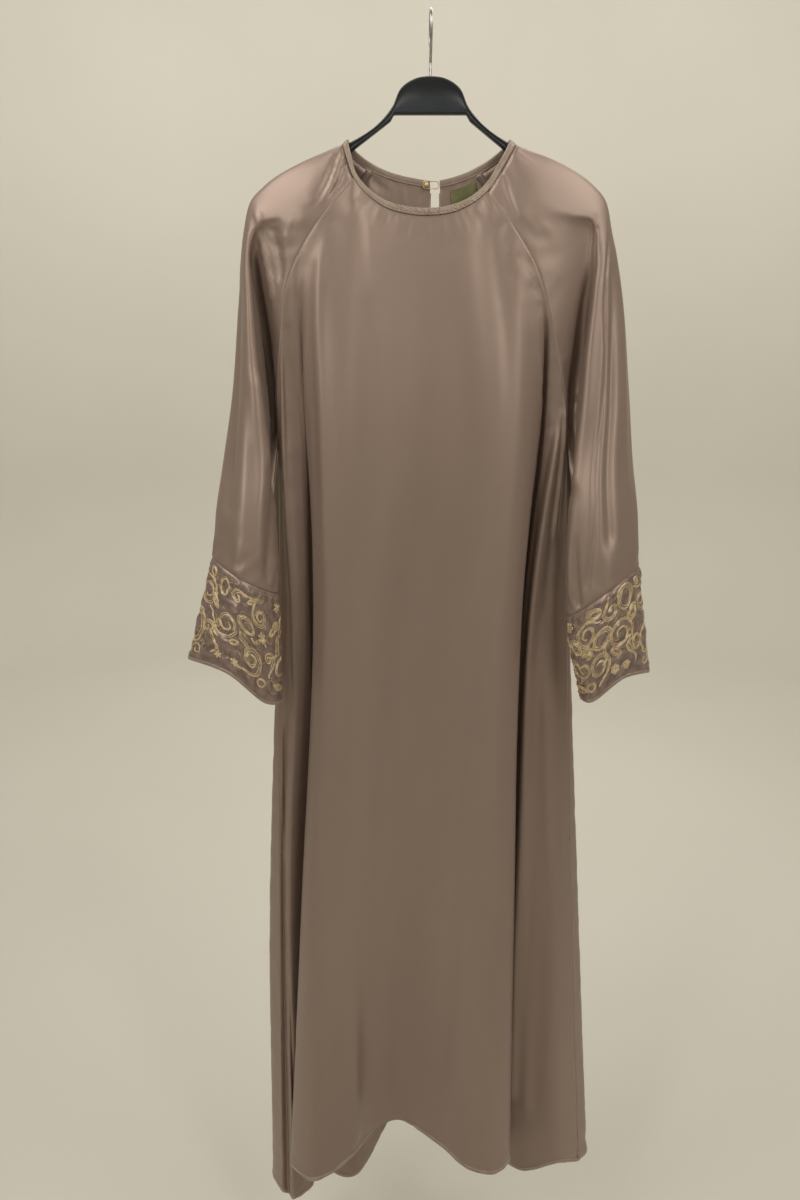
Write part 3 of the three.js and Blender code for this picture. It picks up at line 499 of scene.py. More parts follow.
FRONT_CREASES = [
    crease(9, -17, (-262, 8.3, 0.2), (-345, 7.7, 0.45), (-415, 6.9, 0.8), (-550, 5.8, 1), (-900, 5.5, 1),
           (-1350, 6.2, 0.9), (-1580, 6.8, 0.6)),
    crease(7, 1.5, (-420, 8.5, 0.6), (-560, 8.2, 1), (-900, 8.3, 0.8), (-1545, 8.4, 0.6), over=-5),
    crease(8, 1, (-400, 8.0, 0.3), (-470, 7.2, 0.9), (-560, 6.9, 1), (-680, 6.7, 0.7), (-900, 6.5, 0.3),
           over=-6),
    crease(7, 0, (-400, 6.0, 0.2), (-500, 5.3, 0.8), (-600, 5.0, 0.9), (-720, 4.8, 0.5),
           (-900, 4.8, 0.2), over=5),
    crease(10, 2.6, (-250, 10.0, 0.6), (-320, 9.5, 1), (-480, 9.5, 1), (-660, 9.8, 0.6)),
    crease(7, 3, (-330, 5.2, 0.6), (-415, 3.9, 1), (-560, 2.8, 1), (-800, 3.0, 0.6)),
    crease(4, -4, (-860, 0.8, 0.6), (-990, 1.4, 1), (-1100, 2.1, 1), (-1310, 2.4, 0.6)),
    crease(5, -5, (-1150, 2.2, 0.5), (-1310, 2.9, 1), (-1430, 3.4, 1), (-1570, 4.4, 0.7)),
    crease(9, -18, (-305, 36.7, 0.3), (-357, 37.5, 0.6), (-415, 38.0, 0.8), (-500, 38.5, 1),
           (-640, 38.8, 1), (-900, 38.8, 1), (-1210, 38.6, 0.8), (-1520, 38.2, 0.5)),
    crease(8, 2, (-330, 35.6, 0.4), (-420, 36.4, 0.7), (-500, 37.4, 0.9), (-640, 38.2, 1),
           (-900, 38.2, 1), (-1210, 38.0, 0.8), (-1530, 37.6, 0.4), over=6),
    crease(7, 0, (-500, 39.6, 0.3), (-620, 39.5, 0.9), (-900, 39.5, 1), (-1210, 39.4, 0.8),
           (-1520, 39.0, 0.3), over=-3),
    crease(11, 15, (-430, 41.2, 0.3), (-560, 41.0, 0.7), (-700, 40.9, 1), (-900, 40.7, 1),
           (-1250, 40.3, 1), (-1550, 40.0, 0.6)),
    crease(18, 6, (-860, 41.4, 0.3), (-1080, 41.2, 0.9), (-1300, 41.0, 1), (-1540, 40.8, 0.8)),
    crease(6, 5.5, (-345, 40.2, 0.6), (-400, 41.1, 1), (-480, 42.0, 1), (-620, 42.2, 0.6)),
    crease(8, 2, (-700, 41.6, 0.5), (-840, 42.0, 1), (-1100, 42.2, 0.7)),
    crease(12, 4, (-1120, 15.0, 0.5), (-1300, 15.4, 1), (-1540, 15.8, 1)),
    crease(34, 13, (-1000, 20.8, 0.3), (-1200, 20.8, 0.8), (-1400, 21.0, 1), (-1570, 21.2, 0.9)),
    crease(30, 1.4, (-250, 26.5, 0.6), (-420, 28.2, 1), (-640, 29.5, 0.6)),
    crease(18, -1.4, (-300, 14.5, 0.6), (-460, 15.0, 1), (-760, 14.0, 0.6)),
    crease(26, 1.4, (-700, 24.5, 0.6), (-950, 25.0, 1), (-1250, 24.6, 0.6)),
    crease(12, -1.6, (-640, 32.6, 0.5), (-900, 32.2, 1), (-1300, 32.0, 0.6)),
    crease(16, -1.8, (-900, 28.6, 0.5), (-1150, 28.2, 1), (-1520, 27.4, 1)),
]
BACK_CREASES = [
    crease(7, -4.5, (-240, 6.5, 0.4), (-360, 8.0, 1), (-560, 8.4, 1), (-780, 7.6, 0.6)),
    crease(10, 3, (-300, 10.6, 0.5), (-520, 10.8, 1), (-800, 11.4, 0.6)),
    crease(12, -3, (-270, 16.4, 0.4), (-460, 17.2, 1), (-760, 17.0, 0.6)),
    crease(14, -3.5, (-420, 23.5, 0.5), (-700, 23.8, 1), (-1050, 24.4, 0.6)),
    crease(8, -4.5, (-250, 36.4, 0.4), (-420, 36.0, 1), (-700, 35.2, 0.7)),
    crease(12, 3, (-620, 30.6, 0.5), (-900, 30.2, 1), (-1250, 29.6, 0.7)),
    crease(6, -4.5, (-760, 41.2, 0.5), (-1000, 40.8, 1), (-1300, 40.4, 0.7)),
    crease(6, -4.5, (-900, 3.4, 0.5), (-1150, 3.2, 1), (-1500, 3.6, 0.8)),
    crease(9, -4, (-1100, 20.8, 0.5), (-1350, 21.6, 1), (-1580, 22.2, 1)),
    crease(9, -4, (-1150, 33.2, 0.5), (-1380, 33.4, 1), (-1570, 33.8, 1)),
    crease(11, -5, (-700, 13.2, 0.5), (-1000, 13.4, 1), (-1600, 13.2, 0.8)),
    crease(9, 15, (-440, 42.2, 0.4), (-500, 42.2, 1), (-600, 42.2, 1), (-760, 42.2, 0.3)),
    crease(9, 11, (-470, 1.8, 0.4), (-560, 1.8, 1), (-680, 1.8, 1), (-820, 1.8, 0.3)),
]
LEFT_SLEEVE_CREASES = [
    crease(9, -17, (5.7, 3.6, 0.15), (6.4, 3.0, 0.6), (8.0, 2.9, 1), (10, 2.7, 1), (12, 2.0, 0.8),
           (14.6, 1.6, 0.4)),
    crease(5, 1.5, (5.8, 5.8, 0.5), (7.2, 5.4, 1), (9.2, 5.3, 1), (13.0, 5.0, 0.7), over=-3),
    crease(4, 4.5, (4.7, 7.4, 0.3), (5.0, 4.4, 0.8), (5.3, 2.6, 1), (5.8, 1.5, 1), (6.6, 0.8, 0.8)),
    crease(3, -4, (4.0, 4.8, 0.2), (4.4, 2.6, 0.8), (4.8, 1.0, 1), (5.4, 0.4, 0.6)),
    crease(3, 2.4, (3.4, 3.0, 0.3), (4.0, 1.8, 0.9), (4.6, 0.6, 0.8)),
    crease(2.6, -2.6, (0.1, 3.4, 0.8), (0.6, 1.9, 1), (1.2, 0.9, 0.4)),
    crease(3, 2.4, (0.1, 5.2, 0.8), (0.8, 2.9, 1), (1.7, 1.4, 0.3)),
    crease(3, -2, (0.1, 6.8, 0.7), (1.0, 4.2, 1), (2.1, 2.2, 0.3)),
    crease(11, -5, (7.0, 9.2, 0.4), (10.0, 9.4, 1), (15.4, 9.2, 0.7)),
    crease(8, 4.5, (9.0, 6.0, 0.4), (13.0, 5.8, 1), (17.4, 6.2, 0.6)),
    crease(6, -2.2, (13.0, 3.6, 0.4), (15.5, 4.6, 1), (17.8, 5.4, 0.8)),
    crease(5, 1.8, (16.2, 8.2, 0.3), (17.2, 8.4, 1), (18.0, 8.6, 1)),
    crease(15, 0, (12.6, 2.4, 0.3), (14.4, 2.4, 0.8), (16.4, 2.4, 1), (17.9, 2.4, 0.7), over=-7),
    crease(6, -3.5, (4.4, 14.6, 0.3), (7.0, 14.4, 1), (11.0, 14.8, 0.7)),
    crease(6, 3, (6.0, 17.6, 0.4), (9.0, 17.2, 1), (13.0, 17.4, 0.6)),
    crease(5, -3, (12.5, 15.4, 0.4), (15.0, 15.8, 1), (17.6, 15.2, 0.8)),
]
RIGHT_SLEEVE_CREASES = [
    crease(9, -16, (5.9, 3.2, 0.15), (6.8, 2.6, 0.5), (8.2, 2.7, 1), (10, 2.6, 1), (12, 2.4, 0.8),
           (14.4, 2.0, 0.4)),
    crease(6, 4, (6.2, 5.6, 0.4), (8.0, 5.5, 1), (10.5, 5.4, 1), (14.0, 5.0, 0.6), over=-3),
    crease(2.6, -3.4, (5.5, 9.6, 0.3), (6.8, 7.3, 0.8), (8.8, 7.2, 1), (12.2, 6.8, 1), (15.4, 6.8, 1),
           (17.8, 6.0, 0.9), lean=0.3),
    crease(2.6, -2.4, (5.0, 5.9, 0.3), (5.6, 4.6, 1), (6.6, 4.8, 0.4)),
    crease(8, -6, (6.4, 8.8, 0.3), (9.0, 8.2, 1), (12.0, 8.0, 1), (16.6, 8.2, 0.7)),
    crease(6, 2, (6.0, 10.4, 0.3), (9.0, 9.8, 1), (14.0, 9.8, 0.6)),
    crease(4, -4, (15.6, 5.0, 0.3), (17.0, 5.3, 1), (18.0, 5.6, 1)),
    crease(5, 2.5, (14.4, 4.6, 0.3), (16.4, 4.2, 1), (17.6, 4.0, 0.7)),
    crease(2.6, -1.4, (0.1, 3.0, 0.8), (0.9, 1.9, 1), (1.8, 1.1, 0.3)),
    crease(6, -3.5, (4.4, 14.8, 0.3), (7.0, 14.6, 1), (11.0, 14.4, 0.7)),
    crease(6, 3, (6.5, 17.2, 0.4), (9.0, 17.4, 1), (13.0, 17.0, 0.6)),
    crease(5, -3, (12.0, 15.8, 0.4), (15.0, 15.4, 1), (17.6, 15.8, 0.8)),
]
BODY_DRIFT = dict(wave=(95, 95, 330), height=1.6, fade=60)
SLEEVE_DRIFT = dict(wave=(60, 60, 190), height=1.2, fade=30)
CUFF_DRIFT = dict(wave=(60, 60, 60), height=0.0, fade=10)

# Columns and rows of the fine cloth. The raglan's shares are the same on both of its sides.
raglan_shares = np.linspace(0, 1, RAGLAN_FINE + 1)
raglan_shares = (1 - CROWDED) * raglan_shares + CROWDED * (1 - (1 - raglan_shares) ** 2)
neck_columns = RAGLAN_STEPS + np.linspace(0, NECK_STEPS, NECK_FINE + 1)
panel_columns = np.concatenate([
    (1 - raglan_shares[::-1]) * RAGLAN_STEPS,
    neck_columns[1:-1],
    RAGLAN_STEPS + NECK_STEPS + raglan_shares * RAGLAN_STEPS,
])
downs = graded(**GRADES["body"])
sleeve_columns = graded(**GRADES["round_arm"]) * SLEEVE_STEPS
lower_rows = 1 - graded(**GRADES["below_arm"])[::-1]
sleeve_rows = np.concatenate([
    raglan_shares * RAGLAN_STEPS,
    RAGLAN_STEPS + (SLEEVE_ROWS - RAGLAN_STEPS) * lower_rows[1:],
])
cuff_rows = SLEEVE_ROWS + (CUFF_END - SLEEVE_ROWS) * graded(**GRADES["cuff"])


def make_cloth(points, facing, u, v, seed, ring=False):
    step = np.linalg.norm(np.gradient(points, axis=1), axis=2) / np.gradient(u)[None, :]
    row_step = np.linalg.norm(np.gradient(points, axis=0), axis=2)
    return dict(points=points, normals=grid_normals(points, facing, ring), facing=facing, ring=ring,
                u=np.asarray(u), v=v, column_mm=step, row_mm=row_step, seed=seed)


def front_top(u):
    return panel_top(u, RAGLAN["left_front"], RAGLAN["right_front"],
                     JOIN["left_front"], JOIN["right_front"])


def back_top(u):
    return panel_top(u, RAGLAN["left_back"], RAGLAN["right_back"],
                     JOIN["left_back"], JOIN["right_back"])


def make_panel(folds, top_at, facing, seed):
    points = panel_points(folds, top_at, panel_columns, downs)
    return make_cloth(points, facing, panel_columns, points[..., 2], seed)


front = make_panel(FRONT_FOLDS, front_top, -1, 1.7)
back = make_panel(BACK_FOLDS, back_top, 1, 23.1)
ARMS = dict(
    left=dict(sections=LEFT_SLEEVE, front_seam=RAGLAN["left_front"], back_seam=RAGLAN["left_back"],
              neck=(len(NECK), JOIN["left_point"], JOIN["left_back"]), facing=1, seed=41.9,
              thread_seed=5, creases=LEFT_SLEEVE_CREASES),
    right=dict(sections=RIGHT_SLEEVE, front_seam=RAGLAN["right_front"], back_seam=RAGLAN["right_back"],
               neck=(JOIN["right_front"], JOIN["right_point"], JOIN["right_back"]), facing=-1, seed=67.4,
               thread_seed=8, creases=RIGHT_SLEEVE_CREASES),
)
for arm in ARMS.values():
    for name, rows in (("sleeve", sleeve_rows), ("cuff", cuff_rows)):
        points = sleeve_points(arm, sleeve_columns, rows)
        v = np.repeat(np.asarray(rows)[:, None], len(sleeve_columns), axis=1)
        arm[name] = make_cloth(points, arm["facing"], sleeve_columns, v, arm["seed"], ring=name == "cuff")

# Pieces that meet have one normal along their seam
raglan_count = len(raglan_shares)
seam_rows = slice(0, raglan_count)
panel_seam = dict(left=(0, slice(raglan_count - 1, None, -1)), right=(0, slice(-raglan_count, None)))
for column in (0, -1):
    share((front["normals"], (slice(1, None), column)), (back["normals"], (slice(1, None), column)))
for side, arm in ARMS.items():
    sleeve, cuff = arm["sleeve"]["normals"], arm["cuff"]["normals"]
    share((front["normals"], panel_seam[side]), (sleeve, (seam_rows, 0)))
    share((back["normals"], panel_seam[side]), (sleeve, (seam_rows, -1)))
    underarm = raglan_count - 1
    corner = -1 if side == "right" else 0
    share((front["normals"], (0, corner)), (back["normals"], (0, corner)),
          (sleeve, (underarm, 0)), (sleeve, (underarm, -1)))
    share((sleeve, (slice(raglan_count, None), 0)), (sleeve, (slice(raglan_count, None), -1)))
    share((sleeve, -1), (cuff, 0))
    share((sleeve, (-1, 0)), (sleeve, (-1, -1)), (cuff, (0, 0)), (cuff, (0, -1)))


# Seam lines that the pieces share
def dense(line, kind):
    return along_seam(line, np.linspace(0, 1, SEAM_POINTS[kind]))


neck_line = neck_points(np.linspace(0, len(NECK), SEAM_POINTS["neck"]))
seam_lines = {name: dense(line, "raglan") for name, line in RAGLAN.items()}
side_lines = [dense(front["points"][:, column], "side") for column in (0, -1)]
for arm in ARMS.values():
    arm["underarm_line"] = dense(arm["sleeve"]["points"][raglan_count - 1:, 0], "underarm")
    arm["cuff_line"] = dense(arm["cuff"]["points"][0], "cuff")
    arm["cuff_seam_line"] = dense(arm["cuff"]["points"][:, 0], "cuff")

for name, cloth, creases in (("front", front, FRONT_CREASES), ("back", back, BACK_CREASES)):
    seams = [(seam_lines[f"{side}_{name}"], "raglan") for side in ARMS]
    seams += [(line, "side") for line in side_lines]
    seams += [(neck_line, "neck"), (dense(cloth["points"][-1], "hem"), "hem")]
    relieve(cloth, seams, creases, BODY_DRIFT)
for side, arm in ARMS.items():
    relieve(arm["sleeve"], [(seam_lines[side + "_front"], "raglan"), (seam_lines[side + "_back"], "raglan"),
                            (arm["underarm_line"], "underarm"), (arm["cuff_line"], "cuff"),
                            (neck_line, "neck")], arm["creases"], SLEEVE_DRIFT)


# Materials
def add_node(tree, kind, **settings):
    node = tree.nodes.new("ShaderNode" + kind)
    for key, value in settings.items():
        if key in node.inputs:
            node.inputs[key].default_value = value
        else:
            setattr(node, key, value)
    return node


def texture(tree, kind, scale, source="Object", **settings):
    """A texture's factor. A scale of three numbers stretches the coordinates, which are the
    object's or, in metres, the cloth's own."""
    place = add_node(tree, "TexCoord").outputs[source]
    if isinstance(scale, tuple):
        mapping = add_node(tree, "Mapping", Scale=scale)
        tree.links.new(place, mapping.inputs["Vector"])
        place, scale = mapping.outputs["Vector"], 1.0
    node = add_node(tree, "Tex" + kind, Scale=scale, **settings)
    tree.links.new(place, node.inputs["Vector"])
    return node.outputs["Fac"]


def add_material(name, tones, mottle, bumps=(), worn=None, **settings):
    """A material that runs between a dark and a light tone with one texture. Each bump is a
    strength, a depth in metres and a texture. worn is the range that the roughness takes with it."""
    material = bpy.data.materials.new(name)
    material.use_nodes = True
    tree = material.node_tree
    shader = tree.nodes["Principled BSDF"]
    for key, value in settings.items():
        shader.inputs[key.replace("_", " ")].default_value = value
    factor = texture(tree, **mottle)
    ramp = add_node(tree, "ValToRGB")
    for element, place, colour in zip(ramp.color_ramp.elements, (0.3, 0.7), tones):
        element.position = place
        element.color = (*colour, 1)
    tree.links.new(factor, ramp.inputs["Fac"])
    tree.links.new(ramp.outputs["Color"], shader.inputs["Base Color"])
    if worn:
        rough = add_node(tree, "MapRange")
        rough.inputs["To Min"].default_value, rough.inputs["To Max"].default_value = worn
        tree.links.new(factor, rough.inputs["Value"])
        tree.links.new(rough.outputs["Result"], shader.inputs["Roughness"])
    normal = None
    for strength, depth, surface in bumps:
        bump = add_node(tree, "Bump", Strength=strength, Distance=depth)
        tree.links.new(texture(tree, **surface), bump.inputs["Height"])
        if normal:
            tree.links.new(normal, bump.inputs["Normal"])
        normal = bump.outputs["Normal"]
    if normal:
        tree.links.new(normal, shader.inputs["Normal"])
    return material


def satin_material(name, dark, light, mottle, source="UV", **settings):
    """Satin with a fine diagonal weave and slubs across it."""
    shade = dict(kind="Noise", scale=mottle, source=source, Detail=4.0, Roughness=0.55)
    weft = dict(kind="Wave", scale=(420, 300, 300), source=source, Distortion=0.6, Detail=1.0,
                bands_direction="DIAGONAL")
    slub = dict(kind="Noise", scale=(520, 40, 40), source=source, Detail=3.0)
    return add_material(name, (dark, light), shade, [(0.06, 0.0002, weft), (0.1, 0.0004, slub)],
                        Sheen_Roughness=0.4, **settings)


def thread_material(name, dark, light, **settings):
    change = dict(kind="Noise", scale=160.0, Detail=2.0)
    twist = dict(kind="Wave", scale=900.0, Distortion=2.0, Detail=1.0, bands_direction="DIAGONAL")
    return add_material(name, (dark, light), change, [(0.4, 0.0002, twist)], **settings)


satin = satin_material("satin", (0.315, 0.232, 0.192), (0.350, 0.262, 0.220), (5, 1.2, 1),
                       Roughness=0.43, Sheen_Weight=0.1, Metallic=0.42)
# The cuff cloth runs at random between its own darker embroidered ground and a pinkish light tone that is
# painted sheen of the puckers
cuff_satin = satin_material("cuff_satin", (0.20, 0.145, 0.12), (0.38, 0.28, 0.25), (120, 90, 1),
                            Roughness=0.3, Sheen_Weight=0.1, Metallic=0.4)
binding_satin = satin_material("binding_satin", (0.31, 0.235, 0.185), (0.40, 0.31, 0.25), (80, 60, 60),
                               "Object", Roughness=0.42, Sheen_Weight=0.12, Metallic=0.2)
# The hem satin is lighter than the satin itself: a painted highlight on the rolled edges, which also shows
# on the slit edge and seam allowances
hem_satin_painted_highlight = satin_material("hem_satin_painted_highlight", (0.33, 0.25, 0.21), (0.43, 0.34, 0.29), (60, 60, 60),
                           "Object", Roughness=0.36, Sheen_Weight=0.12, Metallic=0.3)
gold_thread = thread_material("gold_thread", (0.68, 0.49, 0.25), (1.0, 0.86, 0.60),
                              Metallic=0.4, Roughness=0.3)
dull_gold = thread_material("dull_gold", (0.42, 0.30, 0.16), (0.72, 0.57, 0.35),
                            Metallic=0.3, Roughness=0.4)
sewing_thread = thread_material("sewing_thread", (0.46, 0.35, 0.28), (0.62, 0.50, 0.41),
                                Metallic=0.0, Roughness=0.55)
label_weave = dict(kind="Wave", scale=(900, 900, 900), source="UV", Distortion=0.3)
label_cloth = add_material("label_cloth", ((0.10, 0.10, 0.03), (0.22, 0.21, 0.09)),
                           dict(kind="Noise", scale=(60, 60, 60), source="UV", Detail=2.0),
                           [(0.3, 0.0002, label_weave)], Roughness=0.75)
plastic_grain = dict(kind="Noise", scale=900.0, Detail=2.0)
hanger_plastic = add_material("hanger_plastic", ((0.012, 0.015, 0.020), (0.024, 0.028, 0.035)),
                              dict(kind="Noise", scale=14.0, Detail=5.0),
                              [(0.12, 0.0003, plastic_grain)], worn=(0.34, 0.5))
drawn_steel = dict(kind="Noise", scale=220.0, Detail=3.0)
hook_steel = add_material("hook_steel", ((0.42, 0.41, 0.40), (0.62, 0.61, 0.60)), drawn_steel,
                          [(0.08, 0.0002, drawn_steel)], Metallic=1.0, Roughness=0.28)
backdrop_paint = add_material("backdrop", ((0.66, 0.64, 0.57), (0.70, 0.68, 0.61)),
                              dict(kind="Noise", scale=0.6, Detail=3.0), Roughness=0.9)


# Meshes
def add_object(name, vertices, faces, material, uvs=None):
    """vertices in millimetres. uvs hold one place for each corner of each face."""
    mesh = bpy.data.meshes.new(name)
    mesh.from_pydata((np.asarray(vertices) * MM).tolist(), [], [list(face) for face in faces])
    if uvs is not None:
        layer = mesh.uv_layers.new(name="UVMap")
        layer.data.foreach_set("uv", np.asarray(uvs, np.float32).ravel())
    mesh.materials.append(material)
    mesh.polygons.foreach_set("use_smooth", [True] * len(mesh.polygons))
    mesh.update()
    piece = bpy.data.objects.new(name, mesh)
    bpy.context.scene.collection.objects.link(piece)
    return piece


def grid_faces(rows, columns, ring=False):
    """Corners of a grid's cells as rows and columns, and the faces that they make."""
    r, c = np.meshgrid(np.arange(rows - 1), np.arange(columns - 1), indexing="ij")
    r, c = r.ravel(), c.ravel()
    corners = np.stack([np.stack([r, c], 1), np.stack([r, c + 1], 1),
                        np.stack([r + 1, c + 1], 1), np.stack([r + 1, c], 1)], 1)
    width = columns - 1 if ring else columns
    faces = corners[..., 0] * width + (corners[..., 1] % width)
    return corners, faces


def cloth_object(name, cloth, material, size, drop=None):
    """A thin wall of cloth on a grid. size is its cut in metres, for the grain, and drop tells which
    faces to leave out."""
    points = cloth["points"]
    rows, columns = points.shape[:2]
    corners, faces = grid_faces(rows, columns, cloth["ring"])
    across = np.asarray(cloth["u"]) / cloth["u"][-1] * size[0]
    down = chord_knots(points[:, columns // 2])
    down = down / down[-1] * size[1]
    uvs = np.stack([across[corners[..., 1]], -down[corners[..., 0]]], -1)
    if cloth["facing"] < 0:
        faces, uvs = faces[:, ::-1], uvs[:, ::-1]
    if drop is not None:
        keep = ~drop(corners)
        faces, uvs = faces[keep], uvs[keep]
    vertices = (points[:, :-1] if cloth["ring"] else points).reshape(-1, 3)
    piece = add_object(name, vertices, faces, material, uvs)
    wall = piece.modifiers.new("wall", "SOLIDIFY")
    wall.thickness = CLOTH * MM
    wall.offset = 0
    return piece


def tube_faces(count, corners, closed=False):
    """Faces of a tube of rings, with a cap at each end unless it closes on itself."""
    spans = count if closed else count - 1
    i, j = np.meshgrid(np.arange(spans), np.arange(corners), indexing="ij")
    i, j = i.ravel(), j.ravel()
    following, beside = (i + 1) % count, (j + 1) % corners
    faces = np.stack([i * corners + j, i * corners + beside, following * corners + beside,
                      following * corners + j], 1).tolist()
    if not closed:
        faces.append(list(range(corners))[::-1])
        faces.append([(count - 1) * corners + j for j in range(corners)])
    return faces


def sweep(path, sides, ups, profile, closed=False):
    """A profile carried along a path: it holds (side, up) for each of its corners."""
    profile = np.asarray(profile, float)
    if profile.ndim == 2:
        profile = np.broadcast_to(profile, (len(path), *profile.shape))
    points = (path[:, None] + sides[:, None] * profile[..., 0:1] + ups[:, None] * profile[..., 1:2])
    return points.reshape(-1, 3), tube_faces(*points.shape[:2], closed)


def round_profile(radius, corners):
    turns = 2 * math.pi * np.arange(corners) / corners
    return np.stack([radius * np.cos(turns), radius * np.sin(turns)], 1)


def path_frames(path, normals, closed=False):
    """Directions beside and above a path that lies on a surface with these normals."""
    if closed:
        along = unit(np.roll(path, -1, 0) - np.roll(path, 1, 0))
    else:
        along = unit(np.gradient(path, axis=0))
    sides = unit(np.cross(along, normals))
    return sides, unit(np.cross(sides, along))


# Stitches in millimetres: length, gap, radius and how high each one arches
STITCHES = dict(
    cuff=dict(length=2.6, gap=0.8, radius=0.3, lift=0.5),
    binding=dict(length=2.2, gap=0.9, radius=0.16, lift=0.3),
    hem=dict(length=2.7, gap=1.0, radius=0.3, lift=0.42),
    seam=dict(length=1.8, gap=1.3, radius=0.3, lift=0.3),
    label=dict(length=1.6, gap=0.8, radius=0.16, lift=0.2),
)


class Bundle:
    """Gathers many small tubes into one mesh."""

    def __init__(self):
        self.vertices = []
        self.faces = []
        self.count = 0

    def add(self, vertices, faces):
        self.vertices.append(vertices)
        self.faces.extend([corner + self.count for corner in face] for face in faces)
        self.count += len(vertices)

    def tube(self, path, normals, radius, corners=5, closed=False):
        sides, ups = path_frames(path, normals, closed)
        self.add(*sweep(path, sides, ups, round_profile(radius, corners), closed))

    def stitches(self, path, normals, length, gap, radius, lift):
        """Thread stitches along a path, each one arched out of the cloth."""
        arc = chord_knots(path)
        steps = np.linspace(0, 1, 5)
        for start in np.arange(gap, arc[-1] - length, length + gap):
            at = start + length * steps
            ups = unit(interp_rows(at, arc, normals))
            line = interp_rows(at, arc, path) + ups * (lift * np.sin(math.pi * steps) - radius / 2)[:, None]
            self.tube(line, ups, radius, corners=4)

    def make(self, name, material):
        return add_object(name, np.concatenate(self.vertices), self.faces, material)


def finish_piece(piece, slot, *nodes):
    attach(piece, "root")
    if nodes:
        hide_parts(*nodes)
    return piece


# The slit at the back of the neck. A place on its edge is read from the NEAREST points of the cloth
SLIT = dict(x=7.5, half_width=5.2, round_radius=8, top_z=-150, round_z=-258, snap=0.55)
SLIT_EDGE = dict(radius=1.35, corners=8, steps=40, top_z=-190, even=4)
NECK_AT_SLIT_Z = -184
NEAREST = 4


def slit_half_width(z):
    """Half the slit's width at a height, and zero below it."""
    straight = np.interp(z, [SLIT["round_z"], SLIT["top_z"]], [SLIT["round_radius"], SLIT["half_width"]])
    below = np.clip(SLIT["round_z"] - np.asarray(z), 0, SLIT["round_radius"])
    return np.where(z >= SLIT["round_z"], straight, np.sqrt(SLIT["round_radius"] ** 2 - below ** 2))


def open_slit(cloth):
    """Moves the columns beside the slit onto its edge, and returns which faces lie in it."""
    points = cloth["points"]
    half = slit_half_width(points[..., 2])
    offset = points[..., 0] - SLIT["x"]
    in_height = points[..., 2] > SLIT["round_z"] - SLIT["round_radius"]
    inside = (np.abs(offset) < half) & in_height
    pitch = np.gradient(points[..., 0], axis=1)
    near = (np.abs(np.abs(offset) - half) < SLIT["snap"] * pitch) & in_height
    points[..., 0] = np.where(near, SLIT["x"] + np.sign(offset) * half, points[..., 0])
    inside |= near

    def drop(corners):
        return inside[corners[..., 0], corners[..., 1]].all(axis=1)
    return drop


def surface_lookup(cloth):
    """Finds the point and normal of a panel nearest to a place in the XZ plane."""
    tree = kdtree.KDTree(cloth["points"][..., 0].size)
    flat = cloth["points"].reshape(-1, 3)
    normals = cloth["normals"].reshape(-1, 3)
    for i, p in enumerate(flat):
        tree.insert((p[0], 0, p[2]), i)
    tree.balance()

    def find(x, z):
        near = tree.find_n((x, 0, z), NEAREST)
        weights = np.array([[1 / (d + 0.1)] for _, _, d in near])
        weights /= weights.sum()
        chosen = [i for _, i, _ in near]
        return (weights * flat[chosen]).sum(0)[1], unit((weights * normals[chosen]).sum(0))
    return find


drop_slit = open_slit(back)

# The cut of each piece: width and length in metres, and the area of its outline
CUTS = dict(
    front=dict(flat=(0.76, 1.42), area=0.81),
    back=dict(flat=(0.76, 1.50), area=0.80),
    sleeve=dict(flat=(0.34, 0.62), area=0.14),
    cuff=dict(flat=(0.29, 0.13), area=0.0365),
)
front_cloth = cloth_object("front_cloth", front, satin, CUTS["front"]["flat"])
back_cloth = cloth_object("back_cloth", back, satin, CUTS["back"]["flat"], drop_slit)
finish_piece(front_cloth, "satin", "front_panel")
finish_piece(back_cloth, "satin", "back_panel")
for side, arm in ARMS.items():
    arm["sleeve_cloth"] = cloth_object(f"sleeve_{side}_cloth", arm["sleeve"], satin, CUTS["sleeve"]["flat"])
    finish_piece(arm["sleeve_cloth"], "satin", f"sleeve_{side}")

# Cuffs: the embroidery's lines are drawn on the flat cuff, and the cloth between them puckers
CUFF_FLAT = dict(width=280.0, height=128.0, across=420, down=150)
GOLD = dict(radius=0.48, fine_radius=0.34, lift=0.55, step=1.3, spacing=1.9, margin=9.0, curls=210,
            large=9, ticks=9, seam_margin=2.0, ease=6)
# How far each motif is drawn away from its place, size and turn, and the small curls between them
JITTER = dict(across=2.5, down=2, size=(0.9, 1.12), turn=20, other_half=70)
CURL = dict(top=4, bottom=16, size=(2, 7.5), turn=(2.2, 4.6), points=14, winding=0.5)
PUCKER = dict(wave=7, around=6.4, fine=2.1, lumps=1.7, swell=0.9, swell_reach=4, couch=0.45,
              couch_width=1.2, clear=7)
CUFF_STITCH_ROWS = (3, 5)


def spiral(size, turns, tail, winding=0.74, power=0.8, spread=0.35):
    """A scroll that winds inwards, with a tail that leads into it."""
    angle = np.linspace(0, 2 * math.pi * turns, int(26 * turns) + 8)
    radius = size * (1 - winding * (angle / angle[-1]) ** power)
    curl = np.stack([radius * np.cos(angle), radius * np.sin(angle)], 1)
    back = np.linspace(1, 0, 12)[:-1, None]
    lead = np.concatenate([size + spread * tail * back ** 2, -tail * back], 1)
    return [np.concatenate([lead, curl])]


def oval(size, narrow=0.72, rings=2, shrink=0.2):
    angle = np.linspace(0, 2 * math.pi, 40)
    return [np.stack([size * s * np.cos(angle), size * narrow * s * np.sin(angle)], 1)
            for s in 1 - shrink * np.arange(rings)]


def leaf(size, narrow=0.42, rings=2, shrink=0.3):
    t = np.linspace(0, 2 * math.pi, 44)
    return [np.stack([size * s * np.cos(t), narrow * size * s * np.sin(t) * np.abs(np.sin(t)) ** 0.5], 1)
            for s in 1 - shrink * np.arange(rings)]


